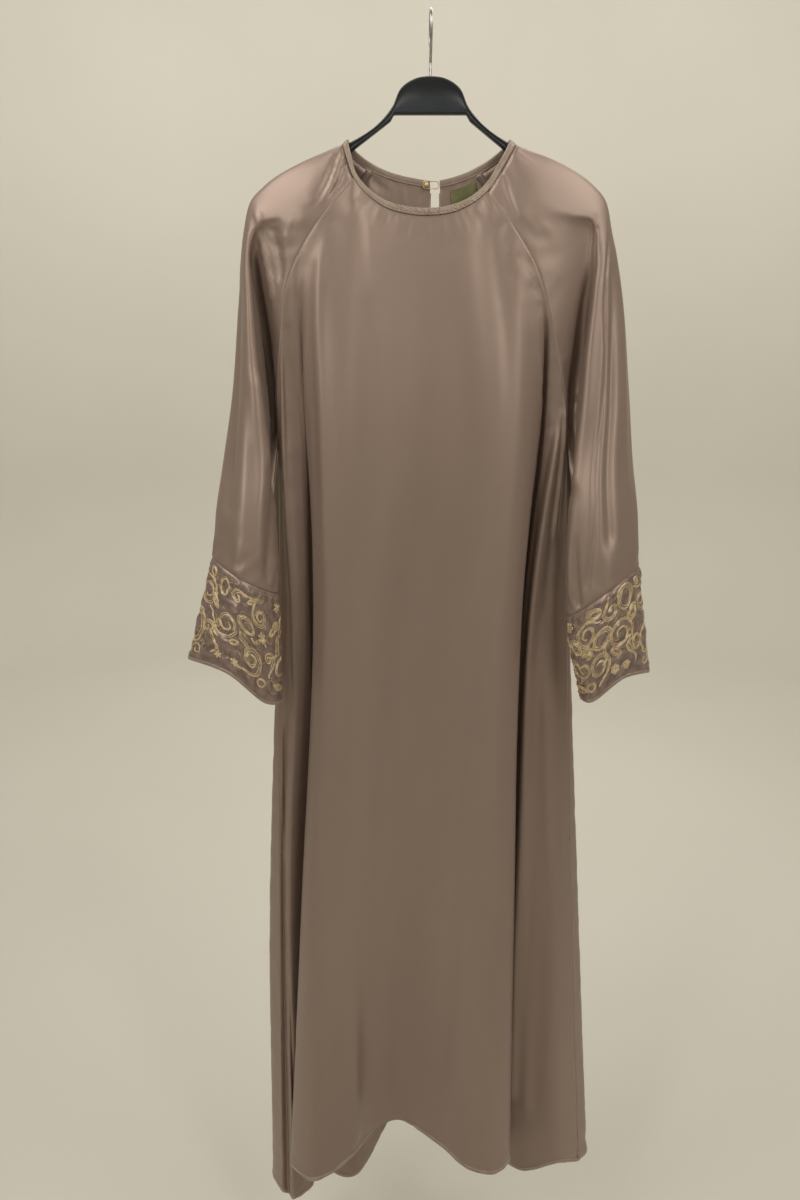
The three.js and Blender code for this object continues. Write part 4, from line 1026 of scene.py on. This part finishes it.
def rosette(size, petals=6, depth=0.38, eye=0.3):
    t = np.linspace(0, 2 * math.pi, 16 * petals)
    radius = size * (1 - depth + depth * np.cos(petals * t))
    small = eye * size
    return [np.stack([radius * np.cos(t), radius * np.sin(t)], 1),
            np.stack([small * np.cos(t), small * np.sin(t)], 1)]


def stem(size, bend=0.35):
    t = np.linspace(-1, 1, 30)
    return [np.stack([size * t, bend * size * np.sin(math.pi * t)], 1)]


MOTIF_SHAPES = dict(
    scroll=lambda size: spiral(size, 1.6, 0.8 * size),
    curl=lambda size: spiral(size, 1.1, 1.3 * size),
    oval=oval,
    leaf=leaf,
    rosette=rosette,
    stem=stem,
)

# Motifs of one half of a cuff: kind, share across and down, size in mm, turn in degrees
MOTIFS = [
    ("scroll", 0.035, 0.30, 18.5, 200), ("rosette", 0.105, 0.12, 6.0, 10), ("leaf", 0.125, 0.34, 10.5, 60),
    ("curl", 0.150, 0.62, 10.5, 120), ("oval", 0.050, 0.66, 16.5, 25), ("stem", 0.100, 0.50, 17.0, 35),
    ("scroll", 0.205, 0.27, 16.0, 330), ("leaf", 0.255, 0.14, 9.5, 15), ("oval", 0.275, 0.42, 12.5, 150),
    ("scroll", 0.235, 0.68, 18.0, 80), ("rosette", 0.180, 0.45, 6.5, 40), ("stem", 0.300, 0.60, 15.0, 110),
    ("curl", 0.335, 0.20, 11.0, 240), ("scroll", 0.385, 0.50, 19.0, 10), ("rosette", 0.330, 0.84, 5.5, 0),
    ("oval", 0.420, 0.16, 13.5, 80), ("leaf", 0.465, 0.36, 11.0, 300), ("stem", 0.440, 0.74, 16.0, 70),
    ("curl", 0.480, 0.64, 10.0, 190), ("rosette", 0.395, 0.86, 5.0, 30), ("leaf", 0.090, 0.86, 9.0, 170),
    ("oval", 0.170, 0.86, 7.0, 10), ("curl", 0.020, 0.88, 7.5, 300), ("leaf", 0.340, 0.66, 8.0, 40),
    ("oval", 0.010, 0.10, 6.5, 0), ("stem", 0.215, 0.50, 12.0, 160), ("curl", 0.435, 0.56, 7.0, 60),
]


def embroidery_lines(turned, seed):
    """Bold and fine lines of one cuff on its flat cut, in millimetres across and down."""
    draw = random.Random(seed)
    bold, fine = [], []
    for half in (0, 1):
        for kind, across, down, size, turn in MOTIFS:
            centre = np.array([(across + 0.5 * half) * CUFF_FLAT["width"], down * CUFF_FLAT["height"]])
            centre += [draw.uniform(-JITTER[key], JITTER[key]) for key in ("across", "down")]
            size *= draw.uniform(*JITTER["size"])
            angle = turn + draw.uniform(-JITTER["turn"], JITTER["turn"]) + JITTER["other_half"] * half
            angle = math.radians(angle)
            flip = -1 if turned != (half == 1) else 1
            spin = np.array([[math.cos(angle), -math.sin(angle)], [math.sin(angle), math.cos(angle)]])
            for number, shape in enumerate(MOTIF_SHAPES[kind](size)):
                line = (shape * [1, flip]) @ spin.T + centre
                line = resample(line, GOLD["step"])
                side = unit(np.gradient(line, axis=0))[:, ::-1] * [-1, 1]
                wave = np.sin(np.linspace(0, math.pi, len(line)))[:, None]
                copies = 1 if number else (3 if size > GOLD["large"] else 2)
                for copy in range(copies):
                    wander = draw.uniform(0.8, 1.25) * GOLD["spacing"] * copy
                    bold.append(line + side * wander * (0.3 + 0.7 * wave))
            if kind in ("rosette", "leaf"):
                for _ in range(GOLD["ticks"]):
                    start = centre + [draw.uniform(-0.35, 0.35) * size, draw.uniform(-0.35, 0.35) * size]
                    end = start + spin @ [draw.uniform(2.5, 4.0), draw.uniform(-0.6, 0.6)]
                    fine.append(np.linspace(start, end, 4))
    for _ in range(GOLD["curls"]):
        start = np.array([draw.uniform(0, CUFF_FLAT["width"]),
                          draw.uniform(CURL["top"], CUFF_FLAT["height"] - CURL["bottom"])])
        size, angle = draw.uniform(*CURL["size"]), draw.uniform(0, 2 * math.pi)
        t = np.linspace(0, draw.uniform(*CURL["turn"]), CURL["points"])
        radius = size * (1 - CURL["winding"] * t / t[-1])
        fine.append(start + np.stack([radius * np.cos(t + angle), radius * np.sin(t + angle)], 1))
    return [inside_cuff(line) for line in bold], [inside_cuff(line) for line in fine]


def inside_cuff(line):
    """Bends a line away from the cuff's seam and hem."""
    low, high, ease = GOLD["seam_margin"], CUFF_FLAT["height"] - GOLD["margin"], GOLD["ease"]
    y = line[:, 1]
    y = np.where(y < low + ease, low + ease * np.exp(np.minimum(y - low - ease, 0) / ease), y)
    y = np.where(y > high - ease, high - ease * np.exp(np.minimum(high - ease - y, 0) / ease), y)
    return np.stack([line[:, 0], y], 1)


def resample(line, step):
    arc = chord_knots(line)
    return interp_rows(np.linspace(0, arc[-1], max(4, int(arc[-1] / step))), arc, line)


def flat_places(cloth):
    """Where each point of the cuff lies on the flat cut, in millimetres across and down."""
    points = cloth["points"]
    steps = np.linalg.norm(np.diff(points, axis=1), axis=2)
    across = np.concatenate([np.zeros((len(points), 1)), np.cumsum(steps, axis=1)], axis=1)
    across = across / across[:, -1:] * CUFF_FLAT["width"]
    down = (cloth["v"] - SLEEVE_ROWS) / (CUFF_END - SLEEVE_ROWS) * CUFF_FLAT["height"]
    return across, down


def pucker_cuff(cloth, lines, seed):
    """Draws the cloth in along the embroidery and lets it swell between the lines."""
    across, down = flat_places(cloth)
    tree = kdtree.KDTree(sum(len(line) for line in lines))
    for i, (x, y) in enumerate(np.concatenate(lines)):
        tree.insert((x % CUFF_FLAT["width"], y, 0), i)
    tree.balance()
    height = np.zeros(across.shape)
    edge = np.minimum(down, CUFF_FLAT["height"] - down)
    for index in np.ndindex(across.shape):
        x, y = across[index] % CUFF_FLAT["width"], down[index]
        d = tree.find((x, y, 0))[2]
        turn = 2 * math.pi * x / CUFF_FLAT["width"]
        around = PUCKER["around"]
        place = Vector((around * math.cos(turn), around * math.sin(turn), y / PUCKER["wave"] + seed))
        lumps = noise.noise(place) + 0.5 * noise.noise(place * PUCKER["fine"])
        swell = PUCKER["swell"] * min(d / PUCKER["swell_reach"], 1)
        couch = PUCKER["couch"] * math.exp(-(d / PUCKER["couch_width"]) ** 2)
        height[index] = PUCKER["lumps"] * lumps + swell - couch
    height *= smooth_step(edge, 0, PUCKER["clear"])
    cloth["points"] = cloth["points"] + cloth["normals"] * height[..., None]


def cuff_lookup(cloth):
    """Finds surface points and normals of a cuff from places on its flat cut."""
    across, down = flat_places(cloth)
    normals = grid_normals(cloth["points"], cloth["facing"], True)
    xs = np.linspace(0, CUFF_FLAT["width"], CUFF_FLAT["across"])
    ys = np.linspace(0, CUFF_FLAT["height"], CUFF_FLAT["down"])

    def even(values):
        by_row = np.array([interp_rows(xs, across[r], values[r]) for r in range(len(values))])
        at = np.interp(ys, down[:, 0], np.arange(len(values)))
        low = np.clip(at.astype(int), 0, len(values) - 2)
        part = (at - low)[:, None, None]
        return by_row[low] * (1 - part) + by_row[low + 1] * part

    point_grid, normal_grid = even(cloth["points"]), even(normals)

    def find(line):
        column = (line[:, 0] % CUFF_FLAT["width"]) / CUFF_FLAT["width"] * (len(xs) - 1)
        row = np.clip(line[:, 1] / CUFF_FLAT["height"], 0, 1) * (len(ys) - 1)
        c = np.minimum(column.astype(int), len(xs) - 2)
        r = np.minimum(row.astype(int), len(ys) - 2)
        s, t = (column - c)[:, None], (row - r)[:, None]
        found = []
        for grid in (point_grid, normal_grid):
            top = grid[r, c] * (1 - s) + grid[r, c + 1] * s
            bottom = grid[r + 1, c] * (1 - s) + grid[r + 1, c + 1] * s
            found.append(top * (1 - t) + bottom * t)
        return found[0], unit(found[1])
    return find


for side, arm in ARMS.items():
    cuff = arm["cuff"]
    bold, fine = embroidery_lines(side == "right", arm["thread_seed"])
    pucker_cuff(cuff, bold, arm["seed"])
    relieve(cuff, [(arm["cuff_line"], "cuff"), (arm["cuff_seam_line"], "underarm")], [], CUFF_DRIFT)
    cuff["points"][:, -1] = cuff["points"][:, 0]
    arm["cuff_cloth"] = cloth_object(f"cuff_{side}_cloth", cuff, cuff_satin, CUTS["cuff"]["flat"])
    finish_piece(arm["cuff_cloth"], "cuff_cloth", f"cuff_{side}")
    find = cuff_lookup(cuff)
    for name, lines, radius, material in (("scrolls", bold, GOLD["radius"], gold_thread),
                                          ("fill", fine, GOLD["fine_radius"], dull_gold)):
        bundle = Bundle()
        for line in lines:
            points, normals = find(line)
            bundle.tube(points + normals * GOLD["lift"], normals, radius)
        for row in CUFF_STITCH_ROWS if name == "scrolls" else ():
            bundle.stitches(cuff["points"][row], cuff["normals"][row], **STITCHES["cuff"])
        arm[name] = finish_piece(bundle.make(f"{name}_{side}", material), "gold_thread")


# The narrow binding that stands on the neck edge, finely pleated at the front
BINDING = dict(height=8.5, lift=0.2, steps=1300, pleat=5.4, pleat_height=0.8, slant=1.3,
               front_reach=80, least=0.15, drift=9, drift_up=0.12, sway=5, thread_out=0.98, thread_up=1.9)
BINDING_HALF = [(1.0, 0.15), (1.25, 0.55), (1.2, 1.2), (0.92, 1.9), (1.2, 2.6), (1.28, 4.0), (1.28, 6.0),
                (1.2, 7.3), (0.85, 8.25)]


def neck_edge():
    """Places round the neck edge with their outward and upward directions, one for each column."""
    columns = np.arange(PANEL_STEPS + 1)
    ring = []

    def take(points, facing, chosen):
        normals = grid_normals(points, facing)[0]
        rise = unit(points[0] - points[1]) + [0, 0, BINDING["lift"]]
        ring.extend((points[0, c], normals[c], unit(rise[c])) for c in chosen)

    neck_part = range(RAGLAN_STEPS, RAGLAN_STEPS + NECK_STEPS)
    sleeve_part = range(SLEEVE_STEPS)
    neck_back, sleeve_back = ([c + 1 for c in part][::-1] for part in (neck_part, sleeve_part))
    first_rows = [0, 1 / PANEL_ROWS]
    columns_of_sleeve = np.arange(SLEEVE_STEPS + 1)
    take(panel_points(FRONT_FOLDS, front_top, columns, first_rows), -1, neck_part)
    take(sleeve_points(ARMS["right"], columns_of_sleeve, [0, 1]), -1, sleeve_part)
    take(panel_points(BACK_FOLDS, back_top, columns, first_rows), 1, neck_back)
    take(sleeve_points(ARMS["left"], columns_of_sleeve, [0, 1]), 1, sleeve_back)
    points, normals, rises = (np.array([place[k] for place in ring]) for k in range(3))
    for _ in range(3):
        rises = unit(np.roll(rises, 1, 0) + rises + np.roll(rises, -1, 0))
    normals = unit(np.roll(normals, 1, 0) + normals + np.roll(normals, -1, 0))
    return points, normals, rises


def ring_spline(values, at):
    """Smooth values at places on a closed ring."""
    wrapped = np.concatenate([values[-3:], values, values[:4]])
    return spline(np.arange(-3, len(values) + 4), wrapped, at)


def add_binding():
    points, normals, rises = neck_edge()
    slit_half = float(slit_half_width(NECK_AT_SLIT_Z))
    back_part = np.arange(2 * NECK_STEPS, 3 * NECK_STEPS, 0.02)
    x = ring_spline(points, back_part)[:, 0]
    right_end = back_part[np.argmax(x < SLIT["x"] + slit_half)]
    left_end = back_part[np.argmax(x < SLIT["x"] - slit_half)]
    at = np.linspace(left_end, right_end + len(points), BINDING["steps"]) % len(points)
    path, sides, ups = (ring_spline(values, at) for values in (points, normals, rises))
    arc = chord_knots(path)
    front_place = arc[np.argmin(path[:, 2])]
    half = np.array(BINDING_HALF)
    profile = np.concatenate([half, [(0, BINDING["height"] + 0.1)], (half * [-1, 1])[::-1]])
    profiles = np.repeat(profile[None], len(path), axis=0)
    near_front = np.exp(-((arc - front_place) / BINDING["front_reach"]) ** 2)
    for i, s in enumerate(arc):
        for j, (out, height) in enumerate(profile):
            drift = noise.noise(Vector((s / BINDING["drift"], BINDING["drift_up"] * height, 3.3)))
            phase = 2 * math.pi * (s + BINDING["slant"] * height) / BINDING["pleat"]
            ripple = math.sin(phase + BINDING["sway"] * drift) + drift
            depth = BINDING["pleat_height"] * (BINDING["least"] + near_front[i])
            profiles[i, j, 0] += math.copysign(depth * ripple, out) * min(1, abs(out))
    sides, ups = unit(sides), unit(ups)
    binding = add_object("binding", *sweep(path, sides, ups, profiles), binding_satin)
    finish_piece(binding, "binding", "neck_binding")
    thread = Bundle()
    line = path + sides * BINDING["thread_out"] + ups * BINDING["thread_up"]
    thread.stitches(line, sides, **STITCHES["binding"])
    finish_piece(thread.make("binding_stitches", sewing_thread), "satin")
    return binding


binding = add_binding()


# Rolled edges of hems and slit. The roll and the thickness of a hem change along it
HEM = dict(roll=0.6, roll_wave=11, thick=0.4, thick_wave=6, ease=20, thread_out=1.02, thread_up=4.6,
           inner_row=-4, body_step=1.5, cuff_step=1.3, cuff_size=0.7)
HEM_HALF = [(0.6, -0.75), (1.05, -0.2), (1.2, 0.8), (1.08, 2.6), (0.95, 4.4), (0.8, 5.3), (0.3, 5.8)]


def hem_roll(name, slot, path, normals, ups, size=1.0):
    """A narrow folded hem round a cloth's edge, a little uneven, with its line of stitches."""
    arc = chord_knots(path)
    half = np.array(HEM_HALF) * [1, size]
    profile = np.concatenate([half, (half * [-1, 1])[::-1]])
    profiles = np.repeat(profile[None], len(path), axis=0)
    roll = np.array([noise.noise(Vector((s / HEM["roll_wave"], 5.1, 0.3))) for s in arc])
    thick = np.array([noise.noise(Vector((s / HEM["thick_wave"], 1.7, 4.4))) for s in arc])
    ease = np.minimum(1, np.minimum(arc, arc[-1] - arc) / HEM["ease"])
    profiles[..., 0] *= 1 + HEM["thick"] * (thick * ease)[:, None]
    profiles[..., 0] += HEM["roll"] * (roll * ease)[:, None]
    piece = add_object(name, *sweep(path, normals, ups, profiles, True), hem_satin_painted_highlight)
    finish_piece(piece, slot)
    thread = Bundle()
    line = path + normals * HEM["thread_out"] + ups * HEM["thread_up"] * size
    thread.stitches(line, normals, **STITCHES["hem"])
    finish_piece(thread.make(name + "_stitches", sewing_thread), slot)
    return piece


def edge_of(cloth, step, reverse=False):
    """An even path along a cloth's lower edge, with its outward normals and the direction into it."""
    points, normals = cloth["points"][-1], cloth["normals"][-1]
    ups = unit(cloth["points"][HEM["inner_row"]] - points)
    arc = chord_knots(points)
    at = np.linspace(0, arc[-1], int(arc[-1] / step))
    parts = [interp_rows(at, arc, values) for values in (points, normals, ups)]
    if reverse:
        parts = [values[::-1] for values in parts]
    return parts[0], unit(parts[1]), unit(parts[2])


front_edge, back_edge = edge_of(front, HEM["body_step"]), edge_of(back, HEM["body_step"], reverse=True)
body_edge = [np.concatenate([a[:-1], b[:-1]]) for a, b in zip(front_edge, back_edge)]
body_hem = hem_roll("body_hem", "satin", *body_edge)
for side, arm in ARMS.items():
    cuff_edge = [values[:-1] for values in edge_of(arm["cuff"], HEM["cuff_step"])]
    arm["cuff_hem"] = hem_roll(f"cuff_hem_{side}", "cuff_cloth", *cuff_edge, size=HEM["cuff_size"])


def add_slit_edge():
    """The rolled edge round the slit at the back of the neck."""
    find = surface_lookup(back)
    x, round_z, radius = SLIT["x"], SLIT["round_z"], SLIT["round_radius"]
    heights = np.linspace(SLIT_EDGE["top_z"], round_z, SLIT_EDGE["steps"])
    xz = [(x - float(slit_half_width(z)), z) for z in heights]
    xz += [(x - radius * math.cos(t), round_z - radius * math.sin(t))
           for t in np.linspace(0, math.pi, SLIT_EDGE["steps"])[1:-1]]
    xz += [(x + float(slit_half_width(z)), z) for z in heights[::-1]]
    places = [find(*place) for place in xz]
    path = np.array([(x, y, z) for (x, z), (y, _) in zip(xz, places)])
    normals = np.array([normal for _, normal in places])
    for _ in range(SLIT_EDGE["even"]):
        path[1:-1, 1] = (path[:-2, 1] + path[1:-1, 1] + path[2:, 1]) / 3
    sides, ups = path_frames(path, normals)
    profile = round_profile(SLIT_EDGE["radius"], SLIT_EDGE["corners"])
    edge = add_object("slit_edge", *sweep(path, sides, ups, profile), hem_satin_painted_highlight)
    return finish_piece(edge, "satin")


slit_edge = add_slit_edge()


# Thread that shows in the seams, and the seam allowances inside the back of the neck
SEAM_THREAD = dict(points=400, out=0.45)
ALLOWANCE = dict(half_width=4.5, thickness=0.5, waist=0.6, inset=1.1, step=2.0, short=8)


def add_seam_threads():
    thread = Bundle()
    for name in RAGLAN:
        side, panel = name.split("_")
        cloth = front if panel == "front" else back
        seam, normals = cloth["points"][panel_seam[side]], cloth["normals"][panel_seam[side]]
        arc = chord_knots(seam)
        at = np.linspace(0, arc[-1], SEAM_THREAD["points"])
        ups = unit(interp_rows(at, arc, normals))
        line = interp_rows(at, arc, seam) + ups * SEAM_THREAD["out"]
        thread.stitches(line, ups, **STITCHES["seam"])
    return finish_piece(thread.make("seam_stitches", sewing_thread), "satin")


def add_allowances():
    """Narrow overlocked edges inside, along the raglan seams of the back."""
    bundle = Bundle()
    half, thick = ALLOWANCE["half_width"], ALLOWANCE["thickness"]
    waist = thick * ALLOWANCE["waist"]
    profile = [(-half, -thick), (0, -waist), (half, -thick), (half, thick), (0, waist), (-half, thick)]
    for side in ARMS:
        seam, normals = back["points"][panel_seam[side]], back["normals"][panel_seam[side]]
        path = resample(seam - normals * ALLOWANCE["inset"], ALLOWANCE["step"])
        arc = chord_knots(seam)
        ups = unit(interp_rows(np.linspace(0, arc[-1], len(path)), arc, normals))
        sides, ups = path_frames(path, ups)
        kept = slice(None, -ALLOWANCE["short"])
        bundle.add(*sweep(path[kept], sides[kept], ups[kept], profile))
    return finish_piece(bundle.make("seam_allowances", hem_satin_painted_highlight), "satin")


seam_stitches = add_seam_threads()
seam_allowances = add_allowances()


# Button, loop and label at the back of the neck
BUTTON = dict(radius=3.2, flatness=0.7, at=(-3.6, 23.2, -181), rings=18, turns=40, wound=0.035)
LOOP = dict(bend=4.25, stretch=5.8, turn=0.17, strand=0.36, twist_radius=0.3, pitch=2.4, step=0.35)
LABEL = dict(first=26.6, last=31.4, top=0.004, bottom=0.021, inset=1.5, thickness=0.55, swell=0.5,
             columns=26, rows=18, size=(0.027, 0.024), thread_in=0.3)


def add_button():
    """A small ball button wound with thread."""
    vertices = []
    rings, turns = BUTTON["rings"], BUTTON["turns"]
    for i in range(1, rings):
        polar = math.pi * i / rings
        for j in range(turns):
            angle = 2 * math.pi * j / turns
            swell = 1 + BUTTON["wound"] * math.cos(10 * angle + 5 * polar) * math.sin(polar)
            r = BUTTON["radius"] * swell
            y = -r * BUTTON["flatness"] * math.cos(polar)
            r *= math.sin(polar)
            vertices.append((r * math.cos(angle), y, r * math.sin(angle)))
    faces = [face[::-1] for face in tube_faces(rings - 1, turns)]
    button = add_object("button", np.array(vertices) + BUTTON["at"], faces, gold_thread)
    return finish_piece(button, "gold_thread", "keyhole_button")


def add_loop():
    """A loop of two twisted strands round the button."""
    angle = np.linspace(-math.pi / 2, math.pi / 2, 24)
    bend = LOOP["bend"] * np.stack([np.cos(angle), np.sin(angle)], 1)
    right = bend + [2 * LOOP["stretch"], 0]
    flat = resample(np.concatenate([right, -bend, right[:1]]), LOOP["step"])[:-1]
    turn = LOOP["turn"]
    x, z = flat.T
    path = np.stack([x * math.cos(turn), x * math.sin(turn), z], 1) + BUTTON["at"]
    outward = np.tile([-math.sin(turn), math.cos(turn), 0.0], (len(path), 1))
    sides, ups = path_frames(path, outward, True)
    winds = round((len(path) - 1) * LOOP["step"] / LOOP["pitch"])
    bundle = Bundle()
    for phase in (0, math.pi):
        angle = (2 * math.pi * winds * np.arange(len(path)) / len(path) + phase)[:, None]
        strand = path + LOOP["twist_radius"] * (np.cos(angle) * sides + np.sin(angle) * ups)
        bundle.tube(strand, outward, LOOP["strand"], corners=6, closed=True)
    return finish_piece(bundle.make("loop", gold_thread), "gold_thread", "button_loop")


def add_label():
    """A small bare woven label, sewn on by its ends inside the back."""
    columns = np.linspace(LABEL["first"], LABEL["last"], LABEL["columns"])
    rows = np.linspace(LABEL["top"], LABEL["bottom"], LABEL["rows"])
    points = panel_points(BACK_FOLDS, back_top, columns, rows)
    normals = grid_normals(points, 1)
    x, y = np.meshgrid(np.linspace(-1, 1, LABEL["columns"]), np.linspace(-1, 1, LABEL["rows"]))
    swell = LABEL["swell"] * (1 - x ** 2) * (1 - y ** 2)
    points = points - normals * (LABEL["inset"] + swell)[..., None]
    cloth = dict(points=points, ring=False, facing=1, u=columns - columns[0])
    label = cloth_object("label", cloth, label_cloth, LABEL["size"])
    label.modifiers["wall"].thickness = LABEL["thickness"] * MM
    finish_piece(label, "label_cloth", "neck_label")
    thread = Bundle()
    for column in (1, -2):
        line = points[:, column] - normals[:, column] * LABEL["thread_in"]
        thread.stitches(line, -normals[:, column], **STITCHES["label"])
    finish_piece(thread.make("label_stitches", sewing_thread), "label_cloth")
    return label


add_button()
add_loop()
label = add_label()


# The hanger: a head and two arms of one section, with a raised rim round a thinner web
HANGER = dict(rest_gap=1.2, wall=1.6, arm_height=11, tip_height=7.5, short_of_tip=0.5, lean=3,
              stations=170, rim_room=2.15)
HEAD_TOP = [(-58, -116), (-45, -101), (-34, -80), (-18, -70.5), (0, -68), (18, -70.5), (34, -80),
            (45, -101), (58, -116)]
HEAD_BOTTOM = [(-47, -116), (-43, -109), (43, -109), (47, -116)]
# Distance in from the edge, and half the thickness there
RIM = [(0.0, 2.4), (0.35, 3.7), (1.1, 4.7), (2.2, 5.2), (3.2, 5.1), (3.9, 4.6), (4.3, 3.9)]


def shoulder_line(sections):
    knots = [s["row"] for s in sections]
    line = spline(knots, [s["outer"] for s in sections], np.arange(6))
    line[5] += (line[4] - line[5]) * HANGER["short_of_tip"]
    return [(x, z - HANGER["wall"] / 2 - HANGER["rest_gap"]) for x, _, z in line]


def hanger_lines():
    """Top and bottom outlines of the hanger from the left tip to the right tip."""
    left, right = shoulder_line(LEFT_SLEEVE)[::-1], shoulder_line(RIGHT_SLEEVE)
    top = np.array(left + HEAD_TOP + right, float)
    lean, drop = HANGER["lean"], HANGER["arm_height"]
    lower_left = [(x + lean, z - drop) for x, z in left[1:]]
    lower_right = [(x - lean, z - drop) for x, z in right[:-1]]
    tips = [(line[0], line[1] - HANGER["tip_height"]) for line in (left[0], right[-1])]
    bottom = np.array([tips[0]] + lower_left + HEAD_BOTTOM + lower_right + [tips[1]], float)
    return top, bottom


def add_hanger():
    top, bottom = hanger_lines()
    arc = chord_knots(top)
    at = np.linspace(0, arc[-1], HANGER["stations"])
    upper = spline(arc, top, at)
    inner = np.clip(np.abs(upper[:, 0]) / HEAD_TOP[-1][0], 0, 1)
    lower_x = upper[:, 0] - np.sign(upper[:, 0]) * HANGER["lean"] * inner
    lower_x = np.clip(lower_x, bottom[0, 0], bottom[-1, 0])
    lower = np.stack([lower_x, np.interp(lower_x, bottom[:, 0], bottom[:, 1])], 1)
    reach = np.linalg.norm(upper - lower, axis=1)
    sections = []
    for u, l, r in zip(upper, lower, reach):
        down = (l - u) / r
        fit = min(1, r / (HANGER["rim_room"] * RIM[-1][0]))
        side = [(u + down * d * fit, y) for d, y in RIM]
        side += [(u + down * (r - d * fit), y) for d, y in RIM[::-1]]
        ring = [(x, -y, z) for (x, z), y in side] + [(x, y, z) for (x, z), y in side[::-1]]
        sections.append(ring)
    sections = np.array(sections)
    faces = tube_faces(*sections.shape[:2])
    hanger = add_object("hanger", sections.reshape(-1, 3), faces, hanger_plastic)
    return finish_piece(hanger, "hanger_plastic", "hanger_body")


HOOK = dict(wire=1.7, bend_radius=20.7, stem=(-84, -76, -68, -60, -52), swan=((-6, -45), (-14, -37)),
            first_turn=-0.35, last_turn=3.84, turns=8, corners=18, step=1.2, tip=(0.9, 0.7, 0.35))


def add_hook():
    centre_z = HOOK["wire"] - HOOK["bend_radius"]
    places = [(0, 0, z) for z in HOOK["stem"]] + [(0, y, z) for y, z in HOOK["swan"]]
    for turn in np.linspace(HOOK["first_turn"], HOOK["last_turn"], HOOK["turns"] + 1):
        out, up = HOOK["bend_radius"] * math.cos(turn), HOOK["bend_radius"] * math.sin(turn)
        places.append((0, -out, centre_z + up))
    knots = chord_knots(places)
    path = spline(knots, places, np.arange(0, knots[-1], HOOK["step"]))
    across = np.tile([1.0, 0, 0], (len(path), 1))
    sides, _ = path_frames(path, across)
    scale = np.ones(len(path))
    scale[-3:] = HOOK["tip"]
    profile = round_profile(HOOK["wire"], HOOK["corners"])[None] * scale[:, None, None]
    hook = add_object("hook", *sweep(path, sides, across, profile), hook_steel)
    return finish_piece(hook, "hook_steel", "hanger_hook")


add_hanger()
add_hook()

# Floor and backdrop
FLOOR_Z = -1.808
BACKDROP = dict(radius=4.6, bend=0.9, height=4.2, turns=96, floor_rings=(0.02, 1.5, 3.0))


def add_backdrop():
    """A round floor that curves up all round, open at the top."""
    radius, bend, height = BACKDROP["radius"], BACKDROP["bend"], BACKDROP["height"]
    turns = np.linspace(0, math.pi / 2, 12)
    profile = [(r, 0) for r in BACKDROP["floor_rings"]]
    profile += [(radius - bend + bend * math.sin(t), bend - bend * math.cos(t)) for t in turns]
    profile.append((radius, height))
    around = np.linspace(0, 2 * math.pi, BACKDROP["turns"], endpoint=False)
    vertices = [(r * math.cos(a), r * math.sin(a), FLOOR_Z + z) for r, z in profile for a in around]
    faces = tube_faces(len(profile), len(around))[:-1]
    backdrop = add_object("backdrop", np.array(vertices) / MM, faces, backdrop_paint)


# Soft light from above and in front, as from a ceiling, and light on the backdrop
LIGHTS = [
    dict(name="ceiling_left", at=(-1.0, -0.6, 1.0), aim=(-0.1, 0, -0.3), size=(0.9, 0.9), watts=11.5),
    dict(name="ceiling_right", at=(1.1, -0.6, 1.0), aim=(0.1, 0, -0.3), size=(0.9, 0.9), watts=10),
    dict(name="front_left", at=(-1.1, -1.9, 0.5), aim=(-0.1, -0.1, -0.9), size=(0.4, 1.2), watts=10.5),
    dict(name="front_right", at=(1.1, -1.9, 0.5), aim=(0.1, -0.1, -0.9), size=(0.4, 1.2), watts=9.5),
    dict(name="ceiling_back", at=(0.4, 1.4, 1.5), aim=(0, 0, -0.7), size=(2.4, 1.4), watts=20),
    dict(name="backdrop_light", at=(0, 1.6, 2.2), aim=(0, 4.6, -0.2), size=(4.0, 1.0), watts=85),
]
WARM_LIGHT = (1.0, 0.955, 0.88)
SKY = dict(colour=(0.95, 0.93, 0.86), strength=0.22)


def add_lights():
    for light in LIGHTS:
        data = bpy.data.lights.new(light["name"], "AREA")
        data.shape = "RECTANGLE"
        data.size, data.size_y = light["size"]
        data.energy = light["watts"]
        data.color = WARM_LIGHT
        lamp = bpy.data.objects.new(light["name"], data)
        lamp.location = light["at"]
        direction = Vector(light["aim"]) - Vector(light["at"])
        lamp.rotation_euler = direction.to_track_quat("-Z", "Y").to_euler()
        bpy.context.scene.collection.objects.link(lamp)
    world = bpy.data.worlds.new("sky")
    bpy.context.scene.world = world
    world.use_nodes = True
    world.node_tree.nodes["Background"].inputs["Color"].default_value = (*SKY["colour"], 1)
    world.node_tree.nodes["Background"].inputs["Strength"].default_value = SKY["strength"]


add_backdrop()
add_lights()
bpy.context.scene.view_settings.view_transform = "Standard"
